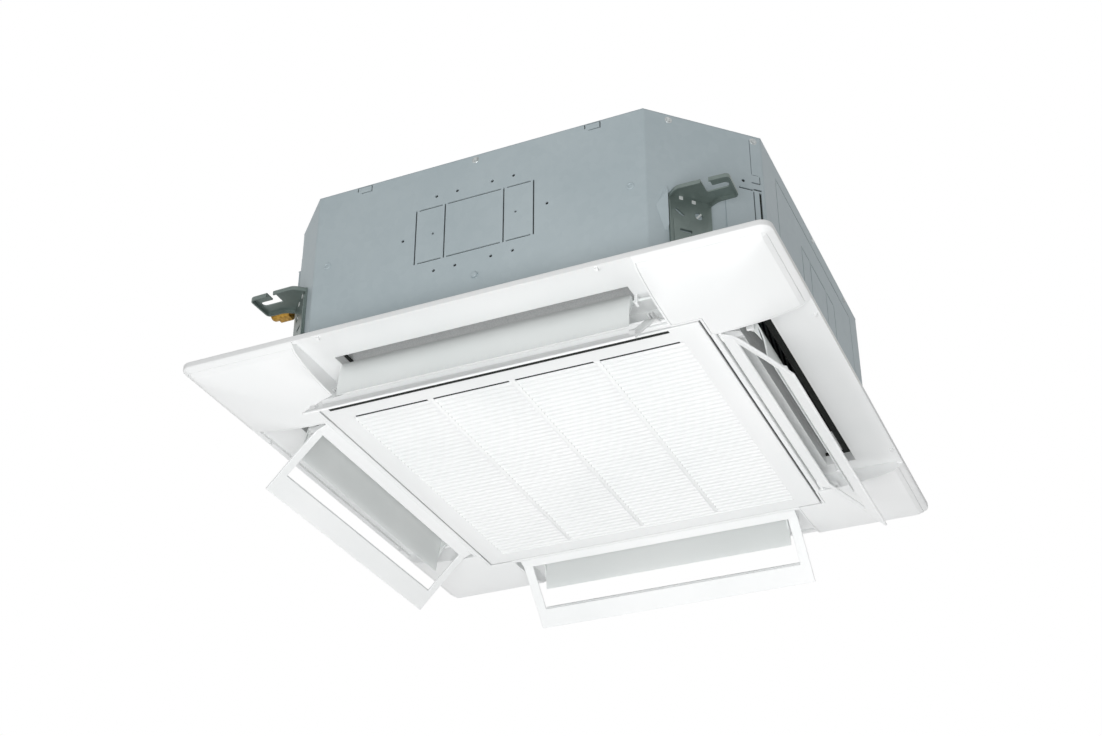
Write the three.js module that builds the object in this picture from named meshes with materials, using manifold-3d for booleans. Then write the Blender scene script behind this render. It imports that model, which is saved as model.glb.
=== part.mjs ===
// Four-way ceiling cassette air conditioner: a sheet-metal body that hangs above the ceiling, and a
// square panel under it with an intake grille, four outlets, four louvres and four open draft frames.
// Millimetres, +Z up. The origin is the centre of the unit in the plane of the ceiling.
import * as THREE from 'three';
import { mergeVertices } from 'three/addons/utils/BufferGeometryUtils.js';
import Module from 'manifold-3d';

const wasm = await Module();
wasm.setup();

// ---- driving dimensions -------------------------------------------------------------------------
const gap = 0.3;                 // play left between neighbouring pieces

// casing above the ceiling
const bodyHalf = 420;            // half the width of the casing
const bodyCut = 140;             // leg of the corner chamfer
const bodyTop = 298;             // top of the roof plate
const bodyBottom = 17;           // lower edge of the casing wall
const sheet = 2;                 // casing wall thickness
const roofSheet = 1.7;
const bayBackY = -255;           // the piping bay cuts into one corner
const bayWallX = -355;
const linerInset = 14;           // inner face of the insulation, from the outside
const panTop = 59.5;             // top of the drain pan

// panel under the ceiling
const panelHalf = 475;
const panelCornerRadius = 18;
const rimHeight = 9.5;           // height of the panel's outer edge
const bulge = 25;                // how far the pads bulge below the rim edge
const bulgeStart = 318;          // the underside is flat inside this distance
const rimWidth = 9;
const basePlate = 5;             // thickness of the panel's base plate
const openingHalf = 319.5;       // half the square opening that the grille fills
const recessHalf = 274;          // half the length of each outlet recess
const endWall = 3;
const innerWallOut = 327.5;      // outer face of the wall between grille and outlet
const collarTop = 12;
const mouthIn = 352;             // the outlet's mouth, from the centre outward
const mouthOut = 402;
const mouthHalf = 243;

// draft frames and louvres, measured from the centre outward
const draftHinge = { out: 332, z: -29 };
const draftHalf = 265;
const draftEdge = 473;           // outer edge of a closed frame
const draftArm = 18;             // width of the frame's arms
const draftOpen = { right: 49, far: 49, left: 49, near: 46.5 };   // degrees from closed to the pose shown
const frameOpeningIn = 350;
const frameOpeningOut = 436;
const frameSheet = 4;
const louverPivot = { out: 372, z: -12 };
const louverHalf = 238;
const louverSheet = 2.4;
const louverPin = 2.4;

// intake grille
const grilleHalf = 316;
const grilleBottom = -35;
const grilleTop = -29;
const slotPitch = 12;
const slotWidth = 6.4;
const slotRows = 46;
const slotFieldX = 278;
const slotFieldNearY = -275;
const ribSpacing = 140;
const ribWidth = 8;

// fan and heat exchanger
const fanRadius = 236;
const fanTop = 229;
const fanBottom = 60;
const bladeCount = 7;
const shaftRadius = 6;
const coilHalf = 330;
const coilDepth = 38;
const coilCorner = 110;
const coilTop = 288;

// hanging brackets
const earTop = 146;
const earSheet = 3;
const earLip = 9;
const flangeBottom = 34;
const boltSlot = 12.5;

// ---- materials ----------------------------------------------------------------------------------
function finish(color, roughness, metalness) {
  return new THREE.MeshStandardMaterial({ color, roughness, metalness });
}
const whitePlastic = () => finish(0xf1f3f2, 0.42, 0);
const greySteel = () => finish(0xa5b2b8, 0.48, 0.55);
const bracketSteel = () => finish(0x65706f, 0.5, 0.6);
const blackFoam = () => finish(0x1c1e1d, 0.95, 0);
const paleFoam = () => finish(0xdfe2e0, 0.9, 0);
const brass = () => finish(0xa98a48, 0.35, 0.9);
const copper = () => finish(0xb5714a, 0.35, 0.9);
const finAluminium = () => finish(0xb9bfc0, 0.45, 0.8);
const darkPlastic = () => finish(0x3c4143, 0.55, 0);
const zincScrew = () => finish(0xa7acac, 0.35, 0.85);

// ---- solids -------------------------------------------------------------------------------------
function solid(geometry) {
  const bare = geometry.clone();
  bare.deleteAttribute('normal');
  bare.deleteAttribute('uv');
  const merged = mergeVertices(bare, 1e-4);
  const vertProperties = new Float32Array(merged.attributes.position.array);
  const triVerts = new Uint32Array(merged.index.array);
  return new wasm.Manifold(new wasm.Mesh({ numProp: 3, vertProperties, triVerts }));
}

function geometryOf(body) {
  const mesh = body.getMesh();
  const geometry = new THREE.BufferGeometry();
  geometry.setAttribute('position', new THREE.BufferAttribute(mesh.vertProperties, 3));
  geometry.setIndex(new THREE.BufferAttribute(mesh.triVerts, 1));
  return geometry;
}

function join(bodies) {
  return bodies.reduce((whole, body) => whole.add(body));
}

function cut(body, cutters) {
  return cutters.reduce((whole, cutter) => whole.subtract(cutter), body);
}

function block(x0, x1, y0, y1, z0, z1) {
  const geometry = new THREE.BoxGeometry(x1 - x0, y1 - y0, z1 - z0);
  geometry.translate((x0 + x1) / 2, (y0 + y1) / 2, (z0 + z1) / 2);
  return solid(geometry);
}

function shapeOf(points) {
  return new THREE.Shape(points.map(([x, y]) => new THREE.Vector2(x, y)));
}

// An outline in plan, standing from z0 to z1.
function prism(points, z0, z1) {
  const geometry = new THREE.ExtrudeGeometry(shapeOf(points), { depth: z1 - z0, bevelEnabled: false });
  geometry.translate(0, 0, z0);
  return solid(geometry);
}

// A section drawn as (outward, z) and run along the side from u0 to u1.
function run(section, u0, u1) {
  const geometry = new THREE.ExtrudeGeometry(shapeOf(section), { depth: u1 - u0, bevelEnabled: false });
  geometry.rotateX(Math.PI / 2);
  geometry.translate(0, u1, 0);
  return solid(geometry);
}

function roundBar(radius, length, sides = 16) {
  return new THREE.CylinderGeometry(radius, radius, length, sides);
}

function uprightBar(x, y, radius, z0, z1, sides = 20) {
  const geometry = roundBar(radius, z1 - z0, sides);
  geometry.rotateX(Math.PI / 2);
  geometry.translate(x, y, (z0 + z1) / 2);
  return solid(geometry);
}

// A round bar along the side, through the point (out, z).
function sideBar(out, z, radius, u0, u1, sides = 12) {
  const geometry = roundBar(radius, u1 - u0, sides);
  geometry.translate(out, (u0 + u1) / 2, z);
  return solid(geometry);
}

function barAlongX(y, z, radius, x0, x1, sides = 20) {
  const geometry = roundBar(radius, x1 - x0, sides);
  geometry.rotateZ(Math.PI / 2);
  geometry.translate((x0 + x1) / 2, y, z);
  return solid(geometry);
}

// A turned piece: its profile is a closed loop of (radius, z), or starts and ends on the axis.
function turned(profile, sides) {
  const loop = profile[0][0] > 0 ? [...profile, profile[0]] : profile;
  const geometry = new THREE.LatheGeometry(loop.map(([r, z]) => new THREE.Vector2(r, z)), sides);
  geometry.rotateX(Math.PI / 2);
  return solid(geometry);
}

function roundedSquare(half, radius, steps = 4) {
  const points = [];
  for (let corner = 0; corner < 4; corner += 1) {
    const angle0 = corner * Math.PI / 2;
    const cx = (half - radius) * (corner === 0 || corner === 3 ? 1 : -1);
    const cy = (half - radius) * (corner < 2 ? 1 : -1);
    for (let step = 0; step <= steps; step += 1) {
      const angle = angle0 + step / steps * Math.PI / 2;
      points.push([cx + radius * Math.cos(angle), cy + radius * Math.sin(angle)]);
    }
  }
  return points;
}

// Moves every edge of a closed outline (anticlockwise) inward by the same distance.
function inset(points, distance) {
  return points.map(([x, y], i) => {
    const [px, py] = points[(i + points.length - 1) % points.length];
    const [nx, ny] = points[(i + 1) % points.length];
    const a = new THREE.Vector2(x - px, y - py).normalize();
    const b = new THREE.Vector2(nx - x, ny - y).normalize();
    const normalA = new THREE.Vector2(-a.y, a.x);
    const normalB = new THREE.Vector2(-b.y, b.x);
    const along = distance / (1 + normalA.dot(normalB));
    return [x + (normalA.x + normalB.x) * along, y + (normalA.y + normalB.y) * along];
  });
}

function squareRing(halfIn, halfOut, z0, z1) {
  const inner = block(-halfIn, halfIn, -halfIn, halfIn, z0 - 1, z1 + 1);
  return block(-halfOut, halfOut, -halfOut, halfOut, z0, z1).subtract(inner);
}

function named(name, body, material) {
  const mesh = new THREE.Mesh(geometryOf(body), material);
  mesh.name = name;
  return mesh;
}

const unit = new THREE.Group();

// The four sides, as turns about +Z of a side that faces +X.
const sides = [
  { name: 'right', turn: 0 },
  { name: 'far', turn: Math.PI / 2 },
  { name: 'left', turn: Math.PI },
  { name: 'near', turn: -Math.PI / 2 },
];
const corners = [
  { name: 'near_right', sx: 1, sy: -1 },
  { name: 'far_right', sx: 1, sy: 1 },
  { name: 'far_left', sx: -1, sy: 1 },
  { name: 'near_left', sx: -1, sy: -1 },
];

function turnedAboutZ(body, turn) {
  const geometry = geometryOf(body);
  geometry.rotateZ(turn);
  return solid(geometry);
}

function onEverySide(makeBody) {
  const body = makeBody();
  return sides.map(({ turn }) => turnedAboutZ(body, turn));
}

// ---- casing wall and roof -----------------------------------------------------------------------
const shoulder = bodyHalf - bodyCut;
const cutSum = bodyHalf + shoulder;
const bayFrontY = -cutSum - bayWallX;
const bodyOutline = [
  [-shoulder, -bodyHalf],
  [shoulder, -bodyHalf],
  [bodyHalf, -shoulder],
  [bodyHalf, shoulder],
  [shoulder, bodyHalf],
  [-shoulder, bodyHalf],
  [-bodyHalf, shoulder],
  [-bodyHalf, bayBackY],
  [bayWallX, bayBackY],
  [bayWallX, bayFrontY],
];
const roofBottom = bodyTop - roofSheet;
const unionPlaces = [
  { name: 'gas', z: 182, hex: 15, thread: 12, pipe: 8 },
  { name: 'liquid', z: 110, hex: 11, thread: 8, pipe: 5 },
];
const unionY = -300;
const pipeRoom = 2;              // how much wider than the pipe its hole in the wall is
const socketPlace = { y: -150, z: 200, radius: 16, bore: 12 };
const chamferDistance = cutSum / Math.SQRT2;

// Lateral and outward distances on a corner chamfer, as plan coordinates.
function onChamfer(outward, lateral, sx, sy) {
  const x = (outward + lateral) / Math.SQRT2;
  const y = (outward - lateral) / Math.SQRT2;
  return [x * sx, y * sy];
}

const hatch = { near: 31, far: 78, z0: 44, z1: 189, sheet: 1.2 };
const hatchLap = 3;              // how far the cover laps its hole
const wallCut = 6;               // how far a cutter stands off the wall that it cuts

function hatchPrism(inward, outward, margin, z0, z1) {
  const [near, far] = [hatch.near + margin, hatch.far - margin];
  return prism([
    onChamfer(inward, near, 1, -1),
    onChamfer(outward, near, 1, -1),
    onChamfer(outward, far, 1, -1),
    onChamfer(inward, far, 1, -1),
  ], z0, z1);
}

function casingWall() {
  const wall = prism(bodyOutline, bodyBottom, roofBottom - gap)
    .subtract(prism(inset(bodyOutline, sheet), bodyBottom - 1, bodyTop));
  const { y, z: socketZ, radius } = socketPlace;
  const holes = unionPlaces.map(({ z, pipe }) => {
    return barAlongX(unionY, z, pipe + pipeRoom, bayWallX - wallCut, bayWallX + wallCut);
  });
  holes.push(barAlongX(y, socketZ, radius + gap, -bodyHalf - wallCut, -bodyHalf + wallCut));
  holes.push(hatchPrism(
    chamferDistance - wallCut,
    chamferDistance + wallCut,
    hatchLap,
    hatch.z0 + hatchLap,
    hatch.z1 - hatchLap,
  ));
  return cut(wall, holes);
}
unit.add(named('casing_wall', casingWall(), greySteel()));
unit.add(named('roof_plate', prism(bodyOutline, roofBottom, bodyTop), greySteel()));

const hatchBack = chamferDistance + gap;
unit.add(named(
  'hatch_cover',
  hatchPrism(hatchBack, hatchBack + hatch.sheet, 0, hatch.z0, hatch.z1),
  greySteel(),
));

// ---- insulation, drain pan and heat exchanger ---------------------------------------------------
function insulationLiner() {
  const liner = prism(inset(bodyOutline, sheet + gap), panTop + gap, roofBottom - gap)
    .subtract(prism(inset(bodyOutline, linerInset), panTop - 1, bodyTop));
  const through = linerInset + wallCut;
  const { y, z: socketZ, radius } = socketPlace;
  const holes = unionPlaces.map(({ z, pipe }) => {
    return barAlongX(unionY, z, pipe + pipeRoom, bayWallX - wallCut, bayWallX + through);
  });
  holes.push(barAlongX(y, socketZ, radius + gap, -bodyHalf, -bodyHalf + through));
  return cut(liner, holes);
}
unit.add(named('insulation_liner', insulationLiner(), blackFoam()));

const ductOut = 404;
const bellHole = 216.5;
const panScrew = { place: 335, hole: 3, depth: 34 };

function drainPan() {
  const pan = prism(inset(bodyOutline, sheet + gap), bodyBottom + gap, panTop);
  const ducts = onEverySide(() => block(mouthIn, ductOut, -mouthHalf, mouthHalf, 0, panTop + 5));
  const screwHoles = corners.map(({ sx, sy }) => {
    const [x, y] = [panScrew.place * sx, panScrew.place * sy];
    return uprightBar(x, y, panScrew.hole, 0, bodyBottom + panScrew.depth);
  });
  return cut(pan, [uprightBar(0, 0, bellHole, 0, panTop + 5, 48), ...ducts, ...screwHoles]);
}
unit.add(named('drain_pan', drainPan(), paleFoam()));

// The finned coil runs round the fan and is open at the corner where its pipes come out.
function heatExchanger() {
  const bottom = panTop + gap;
  const outer = prism(roundedSquare(coilHalf, coilCorner, 6), bottom, coilTop);
  const inner = prism(roundedSquare(coilHalf - coilDepth, coilCorner - coilDepth, 6), bottom - 1, coilTop + 1);
  const [openFrom, openTo] = [-coilHalf - 5, -coilHalf + coilCorner - 5];
  const openCorner = block(openFrom, openTo, openFrom, openTo, bottom - 1, coilTop + 1);
  return cut(outer, [inner, openCorner]);
}
unit.add(named('heat_exchanger', heatExchanger(), finAluminium()));

// ---- bell mouth, fan and motor ------------------------------------------------------------------
const bellProfile = [
  [216, 9],
  [216, 12],
  [198, 20],
  [186, 35],
  [184, 57],
  [181.5, 57],
  [183, 34],
  [195, 17.5],
  [212, 9],
];
unit.add(named('bell_mouth', turned(bellProfile, 40), paleFoam()));

const fanSides = 42;
const hubRadius = 28;
const hubBottom = 206;
const backSheet = 3;
const bladeRoot = 150;
const bladeSweep = 34;           // degrees that a blade trails from root to tip
const bladeSheet = 4;
const bladeEnd = fanRadius - 2;
const shroudEye = 188;
const shroudSheet = 3;
const shroudRise = 12;           // how far the shroud's cone climbs to its outer edge

function bladeOutline(start) {
  const steps = 4;
  const front = [];
  const back = [];
  for (let step = 0; step <= steps; step += 1) {
    const share = step / steps;
    const radius = bladeRoot + (bladeEnd - bladeRoot) * share;
    const angle = start - THREE.MathUtils.degToRad(bladeSweep) * share ** 0.8;
    const half = bladeSheet / 2 / radius;
    front.push([radius * Math.cos(angle + half), radius * Math.sin(angle + half)]);
    back.unshift([radius * Math.cos(angle - half), radius * Math.sin(angle - half)]);
  }
  return [...back, ...front];
}

function turboFan() {
  const bore = shaftRadius + gap;
  const back = turned([
    [bore, hubBottom],
    [hubRadius, hubBottom],
    [hubRadius, fanTop - backSheet],
    [fanRadius, fanTop - backSheet],
    [fanRadius, fanTop],
    [bore, fanTop],
  ], fanSides);
  const blades = [];
  for (let blade = 0; blade < bladeCount; blade += 1) {
    const start = blade / bladeCount * Math.PI * 2;
    blades.push(prism(bladeOutline(start), fanBottom + 6, fanTop - 1));
  }
  // the blades stop just above the shroud's cone
  const belowBlades = turned([
    [shroudEye - 1, fanBottom - 5],
    [fanRadius + 2, fanBottom - 5],
    [fanRadius + 2, fanBottom + shroudRise + shroudSheet + 2 * gap],
    [shroudEye - 1, fanBottom + shroudSheet + gap],
  ], fanSides);
  return join([back, ...blades.map((blade) => blade.subtract(belowBlades))]);
}
unit.add(named('turbo_fan', turboFan(), darkPlastic()));

// The shroud is a ring of its own, welded to the blades' lower edges.
unit.add(named('fan_shroud', turned([
  [shroudEye, fanBottom],
  [fanRadius, fanBottom + shroudRise],
  [fanRadius, fanBottom + shroudRise + shroudSheet],
  [shroudEye, fanBottom + shroudSheet],
], fanSides), darkPlastic()));

const motorBottom = 236;
const motorRadius = 70;
const motorTop = 290;
const shaftBottom = 194;
unit.add(named('fan_motor', turned([
  [0, shaftBottom],
  [shaftRadius, shaftBottom],
  [shaftRadius, motorBottom],
  [motorRadius - 6, motorBottom],
  [motorRadius, motorBottom + 6],
  [motorRadius, motorTop],
  [0, motorTop],
], 28), zincScrew()));

const nutTop = hubBottom - gap;
const nutAcross = 12;
const nutHeight = 8;
unit.add(named(
  'fan_nut',
  uprightBar(0, 0, nutAcross, nutTop - nutHeight, nutTop, 6)
    .subtract(uprightBar(0, 0, shaftRadius + gap, nutTop - nutHeight - 1, nutTop + 1)),
  zincScrew(),
));

function motorBracket() {
  const [z0, z1] = [motorTop + gap, roofBottom - gap];
  const armHalf = 30;
  const armLength = 330;
  return join([
    block(-armLength, armLength, -armHalf, armHalf, z0, z1),
    block(-armHalf, armHalf, -armLength, armLength, z0, z1),
    uprightBar(0, 0, motorRadius + 8, z0, z1, 28),
  ]);
}
unit.add(named('motor_bracket', motorBracket(), bracketSteel()));

// ---- control box, drain pump and float switch ---------------------------------------------------
const controlBox = { x0: -250, x1: 70, y0: -313, y1: -222, z0: -14, z1: 16.5, wall: 1.5 };

function controlBoxTray() {
  const { x0, x1, y0, y1, z0, z1, wall } = controlBox;
  const inside = block(x0 + wall, x1 - wall, y0 + wall, y1 - wall, z0 - 1, z1 - wall);
  const cableHole = block(x1 - 5, x1 + 5, y0 + 30, y0 + 50, 0, 10);
  return cut(block(x0, x1, y0, y1, z0, z1), [inside, cableHole]);
}

function controlBoxLid() {
  const { x0, x1, y0, y1, z0, wall } = controlBox;
  return block(x0, x1, y0, y1, z0 - gap - wall, z0 - gap);
}
unit.add(named('control_box', controlBoxTray(), greySteel()));
unit.add(named('control_box_lid', controlBoxLid(), greySteel()));

const pumpPlace = 318;
const pumpRadius = 21;
unit.add(named('drain_pump', join([
  uprightBar(-pumpPlace, pumpPlace, pumpRadius, panTop + 12, panTop + 84),
  uprightBar(-pumpPlace, pumpPlace, pumpRadius - 9, panTop + gap, panTop + 13),
  uprightBar(-pumpPlace, pumpPlace, pumpRadius - 5, panTop + 83, panTop + 108),
]), darkPlastic()));

const floatPlace = { x: -286, y: 350 };
const floatBottom = panTop + 6;
const floatHeight = 16;
const floatTravel = 10;
unit.add(named('float_switch_stem', join([
  uprightBar(floatPlace.x, floatPlace.y, 3, panTop + gap, panTop + 44, 12),
  uprightBar(floatPlace.x, floatPlace.y, 7, panTop + gap, floatBottom - gap, 12),
  uprightBar(floatPlace.x, floatPlace.y, 9, panTop + 40, panTop + 50, 12),
]), darkPlastic()));
unit.add(named(
  'float',
  uprightBar(floatPlace.x, floatPlace.y, 11, floatBottom, floatBottom + floatHeight, 16)
    .subtract(uprightBar(floatPlace.x, floatPlace.y, 3.5, floatBottom - 1, floatBottom + floatHeight + 1, 12)),
  paleFoam(),
));

function drainSocket() {
  const { y, z, radius, bore } = socketPlace;
  const tube = barAlongX(y, z, radius, -bodyHalf - 32, -bodyHalf + linerInset + 20, 24);
  const flange = barAlongX(y, z, radius + 8, -bodyHalf - 4, -bodyHalf - gap, 24);
  return tube.add(flange).subtract(barAlongX(y, z, bore, -bodyHalf - 40, -bodyHalf + linerInset + 10, 24));
}
unit.add(named('drain_socket', drainSocket(), darkPlastic()));

// ---- refrigerant piping -------------------------------------------------------------------------
const plateSheet = 1.5;
const plateIn = bayWallX - gap;

function pipingPlate() {
  const plate = block(plateIn - plateSheet, plateIn, bayFrontY + 3, bayBackY - 3, 60, 250);
  return cut(plate, unionPlaces.map(({ z, pipe }) => {
    return barAlongX(unionY, z, pipe + gap, plateIn - 10, plateIn + 10);
  }));
}
unit.add(named('piping_plate', pipingPlate(), greySteel()));

for (const { name, z, hex, thread, pipe } of unionPlaces) {
  const seat = plateIn - plateSheet - gap;
  unit.add(named(`${name}_union`, join([
    barAlongX(unionY, z, thread, seat - 40, seat, 20),
    barAlongX(unionY, z, hex, seat - 62, seat - 38, 6),
    barAlongX(unionY, z, thread - 1, seat - 74, seat - 61, 20),
  ]), brass()));
  unit.add(named(`${name}_pipe`, barAlongX(unionY, z, pipe, seat + gap, -280, 16), copper()));
}

// ---- hanging brackets ---------------------------------------------------------------------------
const earEdge = 411;             // the ear's front edge, from the centre line
const earSide = 404;
const earBack = 356;
const slotMouth = 360;
const slotTurn = 378;
const boltX = 390;
const flangeFrom = -64;          // the flange's span along the chamfer
const flangeTo = 5;
const lipSheet = 2.5;

function hangingBracket(sx, sy) {
  const inner = chamferDistance + gap;
  const place = (points) => points.map(([x, y]) => [x * sx, y * sy]);
  const flangeAt = (outward, lateral) => onChamfer(outward, lateral, 1, 1);
  const flange = place([
    flangeAt(inner, flangeFrom),
    flangeAt(inner + earSheet, flangeFrom),
    flangeAt(inner + earSheet, flangeTo),
    flangeAt(inner, flangeTo),
  ]);
  const [bendX, bendY] = flangeAt(inner, flangeFrom);
  const [endX, endY] = flangeAt(inner, flangeTo);
  // plan outline of the ear, with y counted outward
  const ear = [
    [bendX, bendY],
    [322, earEdge],
    [earSide, earEdge - 2],
    [earSide - 2, earBack],
    [370, earBack],
    [endX, endY],
  ];
  const facing = sx * sy > 0 ? 1 : -1;
  const earPoints = place(ear);
  const counterClockwise = facing > 0 ? [...earPoints].reverse() : earPoints;
  const lips = prism(counterClockwise, earTop - earLip, earTop - 1)
    .subtract(prism(inset(counterClockwise, lipSheet), earTop - earLip - 1, earTop));
  const slot = [[slotMouth, earEdge + 9], [slotMouth, slotTurn]];
  const arcSteps = 5;
  for (let step = 0; step <= arcSteps; step += 1) {
    const angle = Math.PI * step / arcSteps;
    const radius = boltSlot / 2;
    slot.push([boltX + radius * Math.sin(angle), slotTurn + radius - radius * Math.cos(angle)]);
  }
  slot.push([slotMouth + boltSlot, slotTurn + boltSlot], [slotMouth + boltSlot, earEdge + 9]);
  return join([
    prism(flange, flangeBottom, earTop),
    prism(earPoints, earTop - earSheet, earTop),
    lips,
  ]).subtract(prism(place(slot), earTop - 20, earTop + 5));
}
for (const { name, sx, sy } of corners) {
  unit.add(named(`hanging_bracket_${name}`, hangingBracket(sx, sy), bracketSteel()));
}

// ---- panel frame --------------------------------------------------------------------------------
const flatBottom = -rimHeight - bulge;

// The panel's underside, lifted by some height: two arched bars crossed, with round corners in plan.
function underside(lift, top) {
  const steps = 6;
  const arch = [];
  for (let step = 0; step <= steps; step += 1) {
    const angle = step / steps * Math.PI / 2;
    const out = bulgeStart + (panelHalf - bulgeStart) * Math.sin(angle);
    arch.push([out, -rimHeight - bulge * Math.cos(angle) + lift]);
  }
  const mirrored = arch.map(([out, z]) => [-out, z]).reverse();
  const section = [[-panelHalf, top], ...mirrored, ...arch, [panelHalf, top]];
  const bar = run(section, -panelHalf - 1, panelHalf + 1);
  const crossBar = turnedAboutZ(bar, Math.PI / 2);
  const plan = prism(roundedSquare(panelHalf, panelCornerRadius), flatBottom - 5, top + 5);
  return bar.intersect(crossBar).intersect(plan);
}

const screwPlace = panScrew.place;
const hingePin = 2.5;
const motorPocket = { u0: 281, u1: 298, radius: 13 };
const lug = { u0: 240.5, u1: 246, half: 6 };

function panelFrame() {
  const rimIn = panelHalf - rimWidth;
  const full = underside(0, 0);
  const shell = full.subtract(block(-rimIn, rimIn, -rimIn, rimIn, flatBottom - 5, -basePlate));
  const wallZ = [flatBottom - 1, -basePlate + 1];
  const walls = [squareRing(openingHalf, openingHalf + 3.5, ...wallZ)];
  walls.push(...onEverySide(() => join([
    block(openingHalf, innerWallOut, -recessHalf - endWall, recessHalf + endWall, ...wallZ),
    block(openingHalf, rimIn + 1, recessHalf, recessHalf + endWall, ...wallZ),
    block(openingHalf, rimIn + 1, -recessHalf - endWall, -recessHalf, ...wallZ),
  ])));
  const below = shell.add(join(walls).intersect(full));
  const above = [squareRing(openingHalf, openingHalf + 3.5, -1, collarTop)];
  above.push(...onEverySide(() => join([
    block(mouthIn - 3, mouthOut + 3, -mouthHalf - 3, mouthHalf + 3, -1, collarTop),
    block(louverPivot.out - lug.half, louverPivot.out + lug.half, lug.u0, lug.u1, -20, -1),
    block(louverPivot.out - lug.half, louverPivot.out + lug.half, -lug.u1, -lug.u0, -20, -1),
  ])));
  const cuts = onEverySide(() => join([
    block(mouthIn, mouthOut, -lug.u0, lug.u0, -basePlate - 1, collarTop + 1),
    block(rimIn - 1, panelHalf + 5, -recessHalf, recessHalf, flatBottom - 5, -rimHeight),
    sideBar(louverPivot.out, louverPivot.z, louverPin + gap, -lug.u1 - 1, recessHalf + endWall + 1),
    sideBar(draftHinge.out, draftHinge.z, hingePin + gap, recessHalf - 1, recessHalf + endWall + 1),
    sideBar(draftHinge.out, draftHinge.z, hingePin + gap, -recessHalf - endWall - 1, -recessHalf + 1),
    block(
      louverPivot.out - motorPocket.radius - 1,
      louverPivot.out + motorPocket.radius + 1,
      motorPocket.u0 - 1,
      motorPocket.u1 + 1,
      -basePlate - 1,
      1,
    ),
  ]));
  const screwHoles = corners.map(({ sx, sy }) => {
    return uprightBar(screwPlace * sx, screwPlace * sy, panScrew.hole, -10, 5, 16);
  });
  const opening = block(-openingHalf, openingHalf, -openingHalf, openingHalf, flatBottom - 5, collarTop + 5);
  return cut(join([below, ...above]), [opening, ...cuts, ...screwHoles]);
}
unit.add(named('panel_frame', panelFrame(), whitePlastic()));

// ---- corner lids --------------------------------------------------------------------------------
const lidEdge = recessHalf + endWall + gap;
const lidRim = panelHalf - rimWidth - gap;
const lidSkin = 3;

function cornerLid(sx, sy) {
  const span = (a, b, sign) => (sign > 0 ? [a, b] : [-b, -a]);
  const area = (from, to, z0, z1) => block(...span(from, to, sx), ...span(from, to, sy), z0, z1);
  const outer = underside(0, -basePlate - gap).intersect(area(lidEdge, lidRim, flatBottom - 5, 0));
  const pocket = underside(lidSkin, 5).intersect(area(lidEdge - 10, lidRim - lidSkin, flatBottom, 5));
  const grilleCorner = area(0, openingHalf + 3.5 + gap, flatBottom - 5, 5);
  return cut(outer, [pocket, grilleCorner]);
}
for (const { name, sx, sy } of corners) {
  unit.add(named(`corner_lid_${name}`, cornerLid(sx, sy), whitePlastic()));
}

for (const { name, sx, sy } of corners) {
  const [x, y] = [screwPlace * sx, screwPlace * sy];
  unit.add(named(`panel_screw_${name}`, join([
    uprightBar(x, y, 6, -basePlate - gap - 4, -basePlate - gap, 12),
    uprightBar(x, y, 2.5, -basePlate - gap - 1, bodyBottom + panScrew.depth - 4, 12),
  ]), zincScrew()));
}

// ---- outlets: seals, louvres, draft frames and their motors -------------------------------------
const sealIn = 358;
const sealOut = 384;

function outletSeal() {
  const [z0, z1] = [collarTop + gap, bodyBottom];
  return block(mouthIn - 3, mouthOut + 6, -mouthHalf - 3, mouthHalf + 3, z0, z1)
    .subtract(block(sealIn, sealOut, -mouthHalf + 6, mouthHalf - 6, z0 - 1, z1 + 1));
}

// Section points of the louvre blade from its pivot, hanging as in the pose shown.
const bladeTop = { out: 8, z: 7 };
const bladeTip = { out: 21, z: -55 };
const bladeBow = 3;

function louver() {
  const steps = 5;
  const along = new THREE.Vector2(bladeTip.out - bladeTop.out, bladeTip.z - bladeTop.z);
  const across = new THREE.Vector2(-along.y, along.x).normalize();
  const outside = [];
  const inside = [];
  for (let step = 0; step <= steps; step += 1) {
    const share = step / steps;
    const bow = bladeBow * Math.sin(Math.PI * share);
    const x = bladeTop.out + along.x * share + across.x * bow;
    const z = bladeTop.z + along.y * share + across.y * bow;
    outside.push([x + across.x * louverSheet / 2, z + across.y * louverSheet / 2]);
    inside.unshift([x - across.x * louverSheet / 2, z - across.y * louverSheet / 2]);
  }
  const blade = run([...outside, ...inside], -louverHalf, louverHalf);
  const cheekSection = [[-4, -3], [-3, 5], [bladeTop.out, bladeTop.z], [12, -13], [15, -26], [4, -8]];
  const pinEnd = motorPocket.u0 - gap - 1;
  return join([
    blade,
    run(cheekSection, louverHalf - 3, louverHalf),
    run(cheekSection, -louverHalf, -louverHalf + 3),
    sideBar(0, 0, louverPin, louverHalf - 2, pinEnd),
    sideBar(0, 0, louverPin, -lug.u1, -louverHalf + 2),
  ]);
}

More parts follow.
